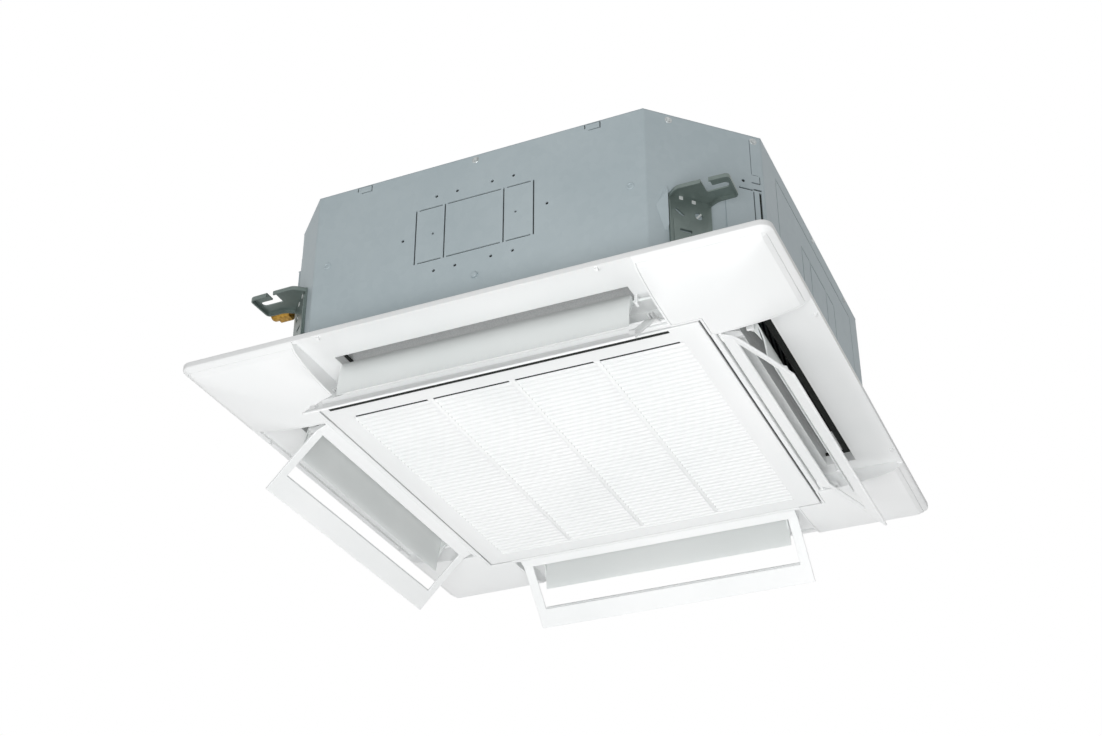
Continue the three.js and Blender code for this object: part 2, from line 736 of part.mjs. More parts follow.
// Closed frame, from its hinge: a thin ring whose inner bar dips to the hinge, with a lip round its
// opening's outer edge and a pin at each end.
function draftFrame() {
  const from = ([out, z]) => [out - draftHinge.out, z - draftHinge.z];
  const section = [
    [331, -31.5],
    [frameOpeningIn, -22],
    [410, -17.5],
    [draftEdge, -14.5],
    [draftEdge, -14.5 + frameSheet],
    [410, -17.5 + frameSheet],
    [frameOpeningIn, -22 + frameSheet],
    [333, -26],
  ].map(from);
  const [openIn, openOut] = [frameOpeningIn - draftHinge.out, frameOpeningOut - draftHinge.out];
  const openHalf = draftHalf - draftArm;
  const ring = run(section, -draftHalf, draftHalf)
    .subtract(block(openIn, openOut, -openHalf, openHalf, -20, 40));
  const lip = run([
    [frameOpeningOut - 1.5, -13],
    [frameOpeningOut + 0.5, -13],
    [frameOpeningOut, -6.5],
    [frameOpeningOut - 1.5, -6.5],
  ].map(from), -openHalf, openHalf);
  return join([
    ring,
    lip,
    sideBar(0, 0, hingePin + 1, draftHalf - draftArm, draftHalf),
    sideBar(0, 0, hingePin + 1, -draftHalf, -draftHalf + draftArm),
    sideBar(0, 0, hingePin, draftHalf - 2, recessHalf + endWall),
    sideBar(0, 0, hingePin, -recessHalf - endWall, -draftHalf + 2),
  ]);
}

function louverMotor() {
  const { u0, u1, radius } = motorPocket;
  return sideBar(louverPivot.out, louverPivot.z, radius, u0, u1, 20);
}

function draftMotor() {
  return block(324, 348, motorPocket.u0, motorPocket.u1, -30, -6);
}

for (const { name, turn } of sides) {
  const side = new THREE.Group();
  side.rotation.z = turn;
  unit.add(side);

  side.add(named(`outlet_seal_${name}`, outletSeal(), blackFoam()));
  side.add(named(`louver_motor_${name}`, louverMotor(), darkPlastic()));
  side.add(named(`draft_motor_${name}`, draftMotor(), darkPlastic()));

  const blade = named(`louver_${name}`, louver(), whitePlastic());
  blade.position.set(louverPivot.out, 0, louverPivot.z);
  side.add(blade);

  const frame = named(`draft_frame_${name}`, draftFrame(), whitePlastic());
  frame.position.set(draftHinge.out, 0, draftHinge.z);
  frame.rotation.y = THREE.MathUtils.degToRad(draftOpen[name]);
  side.add(frame);
}

// ---- intake grille, filter and catches ----------------------------------------------------------
const filterHalfX = 302;
const filterNearY = -303;
const filterFarY = 280;
const filterSheet = 4;
const stiffener = 2;
const edgeTop = -21;             // top of the wall round the filter
const catchHalf = 20;
const catchPlaces = [-170, 170];
const catchPlay = 0.6;           // the catch tips stop this far short of the wall

function intakeGrille() {
  const plate = block(-grilleHalf, grilleHalf, -grilleHalf, grilleHalf, grilleBottom, grilleTop);
  const [x0, y0] = [filterHalfX + 1, filterNearY - 1];
  const y1 = filterFarY + 1;
  const edge = block(-x0 - stiffener, x0 + stiffener, y0 - stiffener, y1 + stiffener, grilleTop - 1, edgeTop)
    .subtract(block(-x0, x0, y0, y1, grilleTop - 2, edgeTop + 1));
  const guides = catchPlaces.flatMap((x) => [-1, 1].map((hand) => {
    const rail = x + hand * (catchHalf + gap + stiffener / 2);
    return block(rail - stiffener / 2, rail + stiffener / 2, 288, 312, grilleTop - 1, edgeTop - 1);
  }));
  const slots = [];
  const columns = Math.round(slotFieldX / ribSpacing * 2);
  for (let row = 0; row < slotRows; row += 1) {
    const y = slotFieldNearY + (row + 0.5) * slotPitch;
    for (let column = 0; column < columns; column += 1) {
      const left = -slotFieldX + column * ribSpacing + (column > 0 ? ribWidth / 2 - 2 : 0);
      const right = -slotFieldX + (column + 1) * ribSpacing - (column < columns - 1 ? ribWidth / 2 + 2 : 4);
      slots.push(block(left, right, y - slotWidth / 2, y + slotWidth / 2, grilleBottom - 1, grilleTop + 1));
    }
  }
  return join([plate, edge, ...guides]).subtract(join(slots));
}
unit.add(named('intake_grille', intakeGrille(), whitePlastic()));
unit.add(named(
  'air_filter',
  block(-filterHalfX, filterHalfX, filterNearY, filterFarY, grilleTop + gap, grilleTop + gap + filterSheet),
  darkPlastic(),
));

catchPlaces.forEach((x, index) => {
  const name = `grille_catch_${index === 0 ? 'left' : 'right'}`;
  const [z0, z1] = [grilleTop + gap, -22.5];
  const body = block(x - catchHalf, x + catchHalf, 291, 313, z0, z1);
  const tip = block(x - catchHalf + 6, x + catchHalf - 6, 312, openingHalf - catchPlay, z0, z1 - 2.5);
  unit.add(named(name, body.add(tip), darkPlastic()));
});

export default unit;
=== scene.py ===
# Four-way ceiling cassette air conditioner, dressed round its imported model.
# Pieces are modelled in millimetres and scaled to metres when they are finished. +Z is up.
from math import cos, pi, radians, sin, sqrt

import bmesh
import bpy
from mathutils import Matrix, Vector


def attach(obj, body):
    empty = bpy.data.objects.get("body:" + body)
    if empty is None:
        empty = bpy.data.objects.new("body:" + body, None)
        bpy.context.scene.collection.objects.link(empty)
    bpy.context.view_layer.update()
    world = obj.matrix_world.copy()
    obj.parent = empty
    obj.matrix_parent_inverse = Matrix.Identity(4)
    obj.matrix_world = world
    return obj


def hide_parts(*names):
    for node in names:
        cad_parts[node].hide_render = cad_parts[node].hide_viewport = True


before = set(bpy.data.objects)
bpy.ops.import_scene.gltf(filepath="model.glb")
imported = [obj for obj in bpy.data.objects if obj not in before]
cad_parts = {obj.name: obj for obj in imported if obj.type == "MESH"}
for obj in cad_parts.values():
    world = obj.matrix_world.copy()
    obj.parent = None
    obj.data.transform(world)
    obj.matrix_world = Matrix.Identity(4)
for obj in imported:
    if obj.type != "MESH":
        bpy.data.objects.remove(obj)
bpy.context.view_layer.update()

scene = bpy.context.scene
mm = 0.001

sides = {"right": 0, "far": 90, "left": 180, "near": -90}
corners = {"near_right": (1, -1), "far_right": (1, 1), "far_left": (-1, 1), "near_left": (-1, -1)}


# camera, light and floor
view = {"place": (0.9506, -2.2846, -1.3653), "towards": (-0.34444, 0.78155, 0.52014), "lens": 55.32}
studio = {
    "worldLight": 0.34, "floorLevel": -2.6, "floorSize": 24, "floorGlow": 0.5,
    "lamps": {   # place, width, power
        "front lamp": ((0.55, -2.5, -1.75), 1.8, 42),
        "lower lamp": ((0, 0.1, -2.3), 2.6, 25),
    },
}


def makeCamera():
    camera = bpy.data.objects.new("camera", bpy.data.cameras.new("camera"))
    camera.data.lens = view["lens"]
    camera.data.sensor_width = 36
    camera.data.clip_end = 100
    camera.location = view["place"]
    camera.rotation_euler = Vector(view["towards"]).to_track_quat("-Z", "Y").to_euler()
    scene.collection.objects.link(camera)
    scene.camera = camera


def addNode(tree, kind, inputs=None, **settings):
    node = tree.nodes.new("ShaderNode" + kind)
    for name, value in settings.items():
        setattr(node, name, value)
    for name, value in (inputs or {}).items():
        if isinstance(value, bpy.types.NodeSocket):
            tree.links.new(value, node.inputs[name])
        else:
            node.inputs[name].default_value = value
    return node


def seenRays(tree):
    rays = addNode(tree, "LightPath").outputs
    seen = rays["Is Camera Ray"]
    for kind in ("Is Glossy Ray", "Is Transmission Ray"):
        seen = addNode(tree, "Math", {0: seen, 1: rays[kind]}, operation="MAXIMUM").outputs[0]
    return seen


def makeWorld():
    world = bpy.data.worlds.new("studio")
    world.use_nodes = True
    tree = world.node_tree
    tree.nodes.clear()
    seen = seenRays(tree)
    white = (1, 1, 1, 1)
    light = addNode(tree, "Background", {"Color": white, "Strength": studio["worldLight"]})
    backdrop = addNode(tree, "Background", {"Color": white, "Strength": 1.0})
    mixed = addNode(tree, "MixShader", {0: seen, 1: light.outputs[0], 2: backdrop.outputs[0]})
    addNode(tree, "OutputWorld", {"Surface": mixed.outputs[0]})
    scene.world = world


# both lamps are wide discs that face the origin
def makeLamp(name, place, width, power):
    lamp = bpy.data.objects.new(name, bpy.data.lights.new(name, "AREA"))
    lamp.data.shape = "DISK"
    lamp.data.size = width
    lamp.data.energy = power
    lamp.location = place
    lamp.rotation_euler = (-Vector(place)).to_track_quat("-Z", "Y").to_euler()
    scene.collection.objects.link(lamp)


def linear(hexColour):
    parts = [int(hexColour[i:i + 2], 16) / 255 for i in (1, 3, 5)]
    return (*[p / 12.92 if p <= 0.04045 else ((p + 0.055) / 1.055) ** 2.4 for p in parts], 1)


def makeFloor():
    bm = bmesh.new()
    place = Matrix.Translation((0, 0, studio["floorLevel"]))
    bmesh.ops.create_grid(bm, x_segments=1, y_segments=1, size=studio["floorSize"] / 2, matrix=place)
    mesh = bpy.data.meshes.new("floor")
    bm.to_mesh(mesh)
    floor = bpy.data.objects.new("floor", mesh)
    scene.collection.objects.link(floor)
    paint = bpy.data.materials.new("painted floor")
    paint.use_nodes = True
    shader = paint.node_tree.nodes["Principled BSDF"]
    shader.inputs["Base Color"].default_value = linear("#f4f4f4")
    shader.inputs["Roughness"].default_value = 0.8
    # the floor looks pale, but throws no more light on the object
    seen = seenRays(paint.node_tree)
    glow = addNode(paint.node_tree, "Math", {0: seen, 1: studio["floorGlow"]}, operation="MULTIPLY")
    shader.inputs["Emission Color"].default_value = (1, 1, 1, 1)
    paint.node_tree.links.new(glow.outputs[0], shader.inputs["Emission Strength"])
    mesh.materials.append(paint)


makeCamera()
makeWorld()
for name, (place, width, power) in studio["lamps"].items():
    makeLamp(name, place, width, power)
makeFloor()
scene.view_settings.view_transform = "Standard"
print("stage ready")


# materials: each pattern's scale is the inverse of a real size in millimetres
def perMetre(sizeInMm):
    return 1000 / sizeInMm


def startMaterial(name, **inputs):
    material = bpy.data.materials.new(name)
    material.use_nodes = True
    tree = material.node_tree
    shader = tree.nodes["Principled BSDF"]
    for key, value in inputs.items():
        shader.inputs[key.replace("_", " ")].default_value = value
    place = addNode(tree, "TexCoord").outputs["Object"]
    return material, tree, shader, place


def blendColours(tree, factor, dark, pale, low, high):
    ramp = addNode(tree, "ValToRGB", {"Fac": factor})
    ramp.color_ramp.elements[0].position = low
    ramp.color_ramp.elements[0].color = linear(dark)
    ramp.color_ramp.elements[1].position = high
    ramp.color_ramp.elements[1].color = linear(pale)
    return ramp.outputs["Color"]


def blendValues(tree, factor, low, high):
    inputs = {"Value": factor, "To Min": low, "To Max": high}
    return addNode(tree, "MapRange", inputs).outputs["Result"]


def addRelief(tree, shader, height, depthInMm, strength):
    bump = addNode(tree, "Bump", {"Height": height, "Distance": depthInMm * mm, "Strength": strength})
    tree.links.new(bump.outputs["Normal"], shader.inputs["Normal"])


def link(tree, socket, shader, name):
    tree.links.new(socket, shader.inputs[name])


def galvanisedSheet(name, dark, pale, roughLow, roughHigh, metallic):
    # hot-dip galvanised steel: faint zinc spangles a centimetre across, with a fine satin grain
    material, tree, shader, place = startMaterial(name, Metallic=metallic)
    spangle = addNode(tree, "TexVoronoi", {"Vector": place, "Scale": perMetre(11), "Randomness": 1.0})
    grain = addNode(tree, "TexNoise", {"Vector": place, "Scale": perMetre(2.5), "Detail": 4.0})
    smear = addNode(tree, "TexNoise", {"Vector": place, "Scale": perMetre(160), "Detail": 3.0})
    cells = addNode(tree, "SeparateColor", {"Color": spangle.outputs["Color"]}).outputs[0]
    tone = addNode(tree, "Math", {0: cells, 1: 0.12}, operation="MULTIPLY").outputs[0]
    inputs = {0: smear.outputs["Fac"], 1: 0.9, 2: tone}
    tone = addNode(tree, "Math", inputs, operation="MULTIPLY_ADD").outputs[0]
    link(tree, blendColours(tree, tone, dark, pale, 0.25, 0.95), shader, "Base Color")
    link(tree, blendValues(tree, grain.outputs["Fac"], roughLow, roughHigh), shader, "Roughness")
    addRelief(tree, shader, grain.outputs["Fac"], 0.05, 0.5)
    return material


def mouldedWhite(name, dark, pale, roughLow=0.34, roughHigh=0.46):
    # white ABS, injection moulded against a lightly spark-eroded tool: satin, with a very fine texture
    material, tree, shader, place = startMaterial(name, IOR=1.53)
    texture = addNode(tree, "TexNoise", {"Vector": place, "Scale": perMetre(1.4), "Detail": 3.0})
    flow = addNode(tree, "TexNoise", {"Vector": place, "Scale": perMetre(220), "Detail": 2.0})
    link(tree, blendColours(tree, flow.outputs["Fac"], dark, pale, 0.3, 0.7), shader, "Base Color")
    link(tree, blendValues(tree, texture.outputs["Fac"], roughLow, roughHigh), shader, "Roughness")
    addRelief(tree, shader, texture.outputs["Fac"], 0.03, 0.35)
    return material


def mouldedDark(name, dark, pale, roughness=0.5):
    # glass-filled polypropylene, moulded: dark grey with faint flow marks
    material, tree, shader, place = startMaterial(name, IOR=1.5)
    texture = addNode(tree, "TexNoise", {"Vector": place, "Scale": perMetre(2), "Detail": 5.0})
    inputs = {"Vector": place, "Scale": perMetre(45), "Detail": 3.0, "Distortion": 1.2}
    flow = addNode(tree, "TexNoise", inputs)
    link(tree, blendColours(tree, flow.outputs["Fac"], dark, pale, 0.3, 0.75), shader, "Base Color")
    rough = blendValues(tree, texture.outputs["Fac"], roughness - 0.08, roughness + 0.12)
    link(tree, rough, shader, "Roughness")
    addRelief(tree, shader, texture.outputs["Fac"], 0.06, 0.5)
    return material


def closedCellFoam(name, dark, pale, cell):
    # black sealing foam, cut from block: open cut cells on every face
    material, tree, shader, place = startMaterial(name, Roughness=0.95, IOR=1.45)
    cells = addNode(tree, "TexVoronoi", {"Vector": place, "Scale": perMetre(cell)})
    link(tree, blendColours(tree, cells.outputs["Distance"], dark, pale, 0.1, 0.8), shader, "Base Color")
    addRelief(tree, shader, cells.outputs["Distance"], 0.5, 0.8)
    return material


def beadFoam(name, seam, bead):
    # expanded polystyrene: white beads 4 mm across, pressed together with fine grey seams
    material, tree, shader, place = startMaterial(name, Roughness=0.85, IOR=1.45)
    beads = addNode(tree, "TexVoronoi", {"Vector": place, "Scale": perMetre(4)}, feature="DISTANCE_TO_EDGE")
    link(tree, blendColours(tree, beads.outputs["Distance"], seam, bead, 0.0, 0.12), shader, "Base Color")
    addRelief(tree, shader, beads.outputs["Distance"], 0.3, 0.25)
    return material


def bareMetal(name, dark, pale, roughLow, roughHigh, mark, metallic=1.0):
    # machined or drawn metal, with handling marks that dull it in patches
    material, tree, shader, place = startMaterial(name, Metallic=metallic)
    inputs = {"Vector": place, "Scale": perMetre(mark), "Detail": 5.0, "Distortion": 0.6}
    dull = addNode(tree, "TexNoise", inputs)
    fine = addNode(tree, "TexNoise", {"Vector": place, "Scale": perMetre(0.9), "Detail": 2.0})
    link(tree, blendColours(tree, dull.outputs["Fac"], dark, pale, 0.32, 0.7), shader, "Base Color")
    link(tree, blendValues(tree, dull.outputs["Fac"], roughHigh, roughLow), shader, "Roughness")
    addRelief(tree, shader, fine.outputs["Fac"], 0.02, 0.4)
    return material


def finStack(name, shadedGapColour, finColour):
    # aluminium fins on edge, 1.6 mm apart: drawn at 3.2 mm, because the real pitch is too fine to show; the
    # dark bands between them are painted shade in the gaps
    material, tree, shader, place = startMaterial(name, Metallic=0.7, Roughness=0.4)
    inputs = {"Vector": place, "Scale": perMetre(3.2) / 20, "Distortion": 0.0}
    fins = addNode(tree, "TexWave", inputs, wave_type="BANDS", bands_direction="DIAGONAL")
    dents = addNode(tree, "TexNoise", {"Vector": place, "Scale": perMetre(30), "Detail": 3.0})
    inputs = {0: dents.outputs["Fac"], 1: 0.3, 2: fins.outputs["Fac"]}
    tone = addNode(tree, "Math", inputs, operation="MULTIPLY_ADD")
    link(tree, blendColours(tree, tone.outputs[0], shadedGapColour, finColour, 0.2, 0.9), shader, "Base Color")
    addRelief(tree, shader, fins.outputs["Fac"], 0.8, 0.8)
    return material


panelAbs = mouldedWhite("moulded ABS, panel white", "#eff1f1", "#f5f6f6")
# the louvre white is a little greyer than the panel white: painted shade for louvres that hang in shade
louverAbsShaded = mouldedWhite("moulded ABS, louvre white, painted shade", "#e8eceb", "#eff2f1", 0.28, 0.38)
casingSteel = galvanisedSheet("galvanised sheet steel", "#b2c0c5", "#c3cfd3", 0.44, 0.58, 0.08)
roofSteel = galvanisedSheet("galvanised sheet steel, roof", "#aab6bb", "#bcc6ca", 0.42, 0.56, 0.12)
bracketSteel = galvanisedSheet("zinc-plated bracket steel", "#697672", "#8e9b97", 0.3, 0.46, 0.35)
# near-white steel for the bracket's notches and tabs: a painted highlight
notchHighlight = bareMetal("steel at a bend, painted highlight", "#e2e6e5", "#f4f6f5", 0.3, 0.42, 4, 0.2)
sealFoam = closedCellFoam("black sealing foam", "#141615", "#2b2e2c", 1.4)
linerFoam = closedCellFoam("black insulation foam", "#121313", "#262827", 2.0)
panFoam = beadFoam("expanded polystyrene", "#e9ecec", "#f6f8f8")
brass = bareMetal("machined brass", "#8d6b2c", "#c39a4c", 0.2, 0.42, 6)
copper = bareMetal("drawn copper tube", "#9a5a3a", "#c98058", 0.25, 0.5, 18)
zinc = bareMetal("bright zinc plate", "#9ba1a1", "#c9cdcd", 0.22, 0.45, 9, 0.9)
finAluminium = finStack("stacked aluminium fins", "#4d5253", "#c6cbcc")
darkPlastic = mouldedDark("glass-filled polypropylene", "#2b2f31", "#43484a")
catchPlastic = mouldedDark("dark grey acetal", "#3a3f41", "#575d5f", 0.4)
filterNet = mouldedDark("polypropylene filter net", "#d3d8d8", "#e3e7e7", 0.6)
print("materials ready")

cadFinishes = [
    (roofSteel, ["control_box", "control_box_lid", "piping_plate"]),
    (bracketSteel, ["motor_bracket"]),
    (linerFoam, ["insulation_liner"]),
    (panFoam, ["drain_pan", "bell_mouth", "float"]),
    (finAluminium, ["heat_exchanger"]),
    (copper, ["gas_pipe", "liquid_pipe"]),
    (zinc, ["fan_motor", "fan_nut"]),
    (darkPlastic, ["turbo_fan", "fan_shroud", "drain_pump", "float_switch_stem", "drain_socket"]),
    (catchPlastic, ["grille_catch_left", "grille_catch_right"]),
    (zinc, [f"panel_screw_{name}" for name in corners]),
    (darkPlastic, [f"{kind}_motor_{name}" for kind in ("louver", "draft") for name in sides]),
]
for material, names in cadFinishes:
    for name in names:
        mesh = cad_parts[name].data
        mesh.materials.clear()
        mesh.materials.append(material)


# modelling helpers, all in millimetres
def addBlock(bm, low, high, rounding=0, segments=2):
    low, high = Vector(low), Vector(high)
    place = Matrix.Translation((low + high) / 2) @ Matrix.Diagonal((*(high - low), 1))
    verts = bmesh.ops.create_cube(bm, size=1, matrix=place)["verts"]
    if rounding:
        edges = list({edge for vert in verts for edge in vert.link_edges})
        verts = bevelEdges(bm, edges, rounding, segments)
    return verts


def bevelEdges(bm, edges, radius, segments=2):
    done = bmesh.ops.bevel(
        bm, geom=edges, offset=radius, segments=segments, profile=0.5,
        affect="EDGES", material=-1, clamp_overlap=True,
    )
    return list({vert for face in done["faces"] for vert in face.verts})


# rounds every fold sharper than 50 degrees
def roundFolds(bm, radius, segments):
    folds = [e for e in bm.edges if len(e.link_faces) == 2 and e.calc_face_angle(0) > radians(50)]
    bevelEdges(bm, folds, radius, segments)


def addBar(bm, start, end, radius, segments=24):
    start, end = Vector(start), Vector(end)
    turn = (end - start).to_track_quat("Z", "Y").to_matrix().to_4x4()
    place = Matrix.Translation((start + end) / 2) @ turn
    return bmesh.ops.create_cone(
        bm, cap_ends=True, segments=segments, radius1=radius, radius2=radius,
        depth=(end - start).length, matrix=place,
    )["verts"]


def extrudeFaces(bm, faces, vector):
    done = bmesh.ops.extrude_face_region(bm, geom=faces)["geom"]
    moved = [item for item in done if isinstance(item, bmesh.types.BMVert)]
    bmesh.ops.translate(bm, verts=moved, vec=vector)
    return moved


def extrudeEdges(bm, edges, vector):
    done = bmesh.ops.extrude_edge_only(bm, edges=edges)["geom"]
    moved = [item for item in done if isinstance(item, bmesh.types.BMVert)]
    bmesh.ops.translate(bm, verts=moved, vec=vector)
    return moved


# a section drawn as (outward, z) and run along a side that faces +X
def addRun(bm, section, along0, along1):
    verts = [bm.verts.new((out, along0, z)) for out, z in section]
    face = bm.faces.new(verts)
    return verts + extrudeFaces(bm, [face], (0, along1 - along0, 0))


def addPlan(bm, outline, z0, z1):
    verts = [bm.verts.new((x, y, z0)) for x, y in outline]
    face = bm.faces.new(verts)
    return verts + extrudeFaces(bm, [face], (0, 0, z1 - z0))


# a ring between two rectangles (x0, y0, x1, y1), with its folds rounded
def addRing(bm, rectangles, z0, z1, radius, segments):
    for x0, y0, x1, y1 in rectangles:
        verts = [bm.verts.new((x, y, z0)) for x, y in ((x0, y0), (x1, y0), (x1, y1), (x0, y1))]
        for pair in zip(verts, verts[1:] + verts[:1]):
            bm.edges.new(pair)
    bmesh.ops.bridge_loops(bm, edges=bm.edges[:])
    extrudeFaces(bm, bm.faces[:], (0, 0, z1 - z0))
    bmesh.ops.recalc_face_normals(bm, faces=bm.faces)
    roundFolds(bm, radius, segments)


# a turned piece: its profile of (radius, z) goes round the upright axis
def addTurned(bm, profile, closed=False, steps=64):
    verts = [bm.verts.new((radius, 0, z)) for radius, z in profile]
    pairs = list(zip(verts, verts[1:]))
    if closed:
        pairs.append((verts[-1], verts[0]))
    edges = [bm.edges.new(pair) for pair in pairs]
    before = set(bm.verts) - set(verts)
    bmesh.ops.spin(
        bm, geom=verts + edges, cent=(0, 0, 0), axis=(0, 0, 1), dvec=(0, 0, 0),
        angle=2 * pi, steps=steps, use_merge=True, use_duplicate=False,
    )
    made = [vert for vert in bm.verts if vert not in before]
    bmesh.ops.remove_doubles(bm, verts=made, dist=0.001)
    return [vert for vert in bm.verts if vert not in before]


def move(bm, verts, matrix):
    bmesh.ops.transform(bm, matrix=matrix, verts=verts)


def turnAbout(point, degrees, axis):
    away = Matrix.Translation(point)
    return away @ Matrix.Rotation(radians(degrees), 4, axis) @ away.inverted()


def tidyMesh(bm):
    bmesh.ops.remove_doubles(bm, verts=bm.verts, dist=0.002)
    bmesh.ops.recalc_face_normals(bm, faces=bm.faces)


def setShading(bm, sharpAngle):
    for face in bm.faces:
        face.smooth = True
    for edge in bm.edges:
        edge.smooth = len(edge.link_faces) == 2 and edge.calc_face_angle(0) < radians(sharpAngle)


def makeObject(name, bm, sharpAngle=32):
    bmesh.ops.scale(bm, vec=(mm, mm, mm), verts=bm.verts)
    bm.normal_update()
    setShading(bm, sharpAngle)
    mesh = bpy.data.meshes.new(name)
    bm.to_mesh(mesh)
    bm.free()
    piece = bpy.data.objects.new(name, mesh)
    scene.collection.objects.link(piece)
    return piece


# takes the cutter's shape out of a piece
def cutAway(piece, cutterBm, sharpAngle=32):
    tidyMesh(cutterBm)
    cutter = makeObject("cutter", cutterBm)
    modifier = piece.modifiers.new("cut", "BOOLEAN")
    modifier.object = cutter
    modifier.operation = "DIFFERENCE"
    modifier.solver = "EXACT"
    modifier.use_self = True
    evaluated = piece.evaluated_get(bpy.context.evaluated_depsgraph_get())
    mesh = bpy.data.meshes.new_from_object(evaluated)
    piece.modifiers.clear()
    bm = bmesh.new()
    bm.from_mesh(mesh)
    bmesh.ops.remove_doubles(bm, verts=bm.verts, dist=0.00001)
    setShading(bm, sharpAngle)
    bm.to_mesh(mesh)
    bm.free()
    old = piece.data
    piece.data = mesh
    bpy.data.meshes.remove(old)
    bpy.data.objects.remove(cutter)


def dress(piece, material, body, replaced=()):
    piece.data.materials.clear()
    piece.data.materials.append(material)
    evenNormals = piece.modifiers.new("even normals", "WEIGHTED_NORMAL")
    evenNormals.keep_sharp = True
    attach(piece, body)
    if replaced:
        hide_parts(*replaced)
    return piece


def finishPiece(name, bm, material, body, replaced=(), sharpAngle=32):
    tidyMesh(bm)
    return dress(makeObject(name, bm, sharpAngle), material, body, replaced)


def everySide(bm, makeShape):
    for degrees in sides.values():
        verts = makeShape()
        move(bm, verts, Matrix.Rotation(radians(degrees), 4, "Z"))


# casing wall: a folded sheet with pressed slits round its knock-outs, and punched holes
casing = {
    "half": 420, "cut": 140, "bottom": 17, "top": 296, "sheet": 2, "bend": 3,
    "bayBack": -255, "bayWall": -355,
    "slit": 2.3, "bridge": 6,
    "unionY": -300, "unions": {"gas": (182, 8, 12, 15), "liquid": (110, 5, 8, 11)},   # z, pipe, thread, nut
    "socket": (-150, 200, 16),                            # y, z, radius
    "frontStops": [-100, -50, 50, 100], "frontHeights": (117, 217), "clips": (-197, 197), "clipZ": 290,
    "frontHoles": [   # across, z, radius
        (122, 167, 2.6), (30, 237, 2.6), (66, 237, 2.6), (30, 96.5, 2.6), (66, 96.5, 2.6), (70, 167, 2.0),
    ],
    "sideKnockOuts": [([-209, 228], 40, 269), ([-78, -29, 64, 113], 117, 224)],
    "lances": [       # beside the hatch: start, end, width
        ((57, 191.5), (78, 191.5), 2.6), ((82, 193.5), (93, 193.5), 3.2), ((91.5, 120), (91.5, 187), 4.0),
        ((80.5, 120), (80.5, 188), 1.8), ((79, 222), (79, 288), 1.1), ((79, 206), (91, 206), 2.4),
        ((92.5, 206), (92.5, 219), 1.4), ((81, 221), (90, 221), 1.1),
    ],
    "lanceHole": (64, 206, 2.9), "hatchHole": ((34, -6, 47), (75, 6, 186)),
}
shoulder = casing["half"] - casing["cut"]
chamferDistance = (casing["half"] + shoulder) / sqrt(2)


def casingOutline():
    half, side = casing["half"], shoulder
    back, wall = casing["bayBack"], casing["bayWall"]
    front = -(half + side) - wall
    return [
        (-side, -half), (side, -half), (half, -side), (half, side), (side, half), (-side, half),
        (-half, side), (-half, back), (wall, back), (wall, front),
    ]


# one face of the casing: how its own (across, z) are placed in plan
def faceTurn(degrees, distance):
    return Matrix.Rotation(radians(degrees), 4, "Z") @ Matrix.Translation((0, -distance, 0))


frontFace = faceTurn(0, casing["half"])
rightFace = faceTurn(90, casing["half"])
farFace = faceTurn(180, casing["half"])
leftFace = faceTurn(-90, casing["half"])
chamferFace = faceTurn(45, chamferDistance)
wallReach = 8                    # how far the punches stand off the sheet


def punchSlit(bm, turn, start, end, width=casing["slit"]):
    (x0, z0), (x1, z1) = start, end
    half = width / 2
    low = (min(x0, x1) - half, -wallReach, min(z0, z1) - half)
    high = (max(x0, x1) + half, wallReach, max(z0, z1) + half)
    move(bm, addBlock(bm, low, high), turn)


def punchHole(bm, turn, x, z, radius, segments=20):
    move(bm, addBar(bm, (x, -wallReach, z), (x, wallReach, z), radius, segments=segments), turn)


# a knock-out outlined by slits: those across stop short of the upright ones
def punchKnockOut(bm, turn, stops, z0, z1):
    bridge = casing["bridge"]
    for a, b in zip(stops, stops[1:]):
        for z in (z0, z1):
            punchSlit(bm, turn, (a + bridge, z), (b - bridge, z))
    for x in stops:
        punchSlit(bm, turn, (x, z0), (x, z1))


# a lanced window for a wiring clip, open at one side
def punchClip(bm, turn, x, z, width=1.8):
    line = [(-12, -1), (-12, 6), (13, 6), (13, -6), (-5, -6)]
    for (x0, z0), (x1, z1) in zip(line, line[1:]):
        punchSlit(bm, turn, (x + x0, z + z0), (x + x1, z + z1), width)


def casingWall():
    bm = bmesh.new()
    loop = [bm.verts.new((x, y, casing["bottom"])) for x, y in casingOutline()]
    edges = [bm.edges.new((a, b)) for a, b in zip(loop, loop[1:] + loop[:1])]
    extrudeEdges(bm, edges, (0, 0, casing["top"] - casing["bottom"]))
    upright = [e for e in bm.edges if abs(e.verts[0].co.z - e.verts[1].co.z) > 1]
    bevelEdges(bm, upright, casing["bend"], 4)
    bmesh.ops.recalc_face_normals(bm, faces=bm.faces)
    bmesh.ops.solidify(bm, geom=bm.faces[:], thickness=casing["sheet"])
    bmesh.ops.recalc_face_normals(bm, faces=bm.faces)
    wall = makeObject("casingWall", bm)

    punch = bmesh.new()
    for turn in (frontFace, farFace):
        punchKnockOut(punch, turn, casing["frontStops"], *casing["frontHeights"])
        for x, z, radius in casing["frontHoles"]:
            punchHole(punch, turn, x, z, radius)
            punchHole(punch, turn, -x, z, radius)
        for x in casing["clips"]:
            punchClip(punch, turn, x, casing["clipZ"])
    for turn in (rightFace, leftFace):
        for stops, z0, z1 in casing["sideKnockOuts"]:
            punchKnockOut(punch, turn, stops, z0, z1)
    for start, end, width in casing["lances"]:
        punchSlit(punch, chamferFace, start, end, width)
    punchHole(punch, chamferFace, *casing["lanceHole"])
    wallX, y = casing["bayWall"], casing["unionY"]
    for z, pipe, _, _ in casing["unions"].values():
        addBar(punch, (wallX - 6, y, z), (wallX + 6, y, z), pipe + 2, segments=32)
    y, z, radius = casing["socket"]
    addBar(punch, (-casing["half"] - 6, y, z), (-casing["half"] + 6, y, z), radius + 0.3)
    move(punch, addBlock(punch, *casing["hatchHole"]), chamferFace)
    cutAway(wall, punch)
    dress(wall, casingSteel, "unit", ["casing_wall"])


casingWall()
print("casing wall ready")


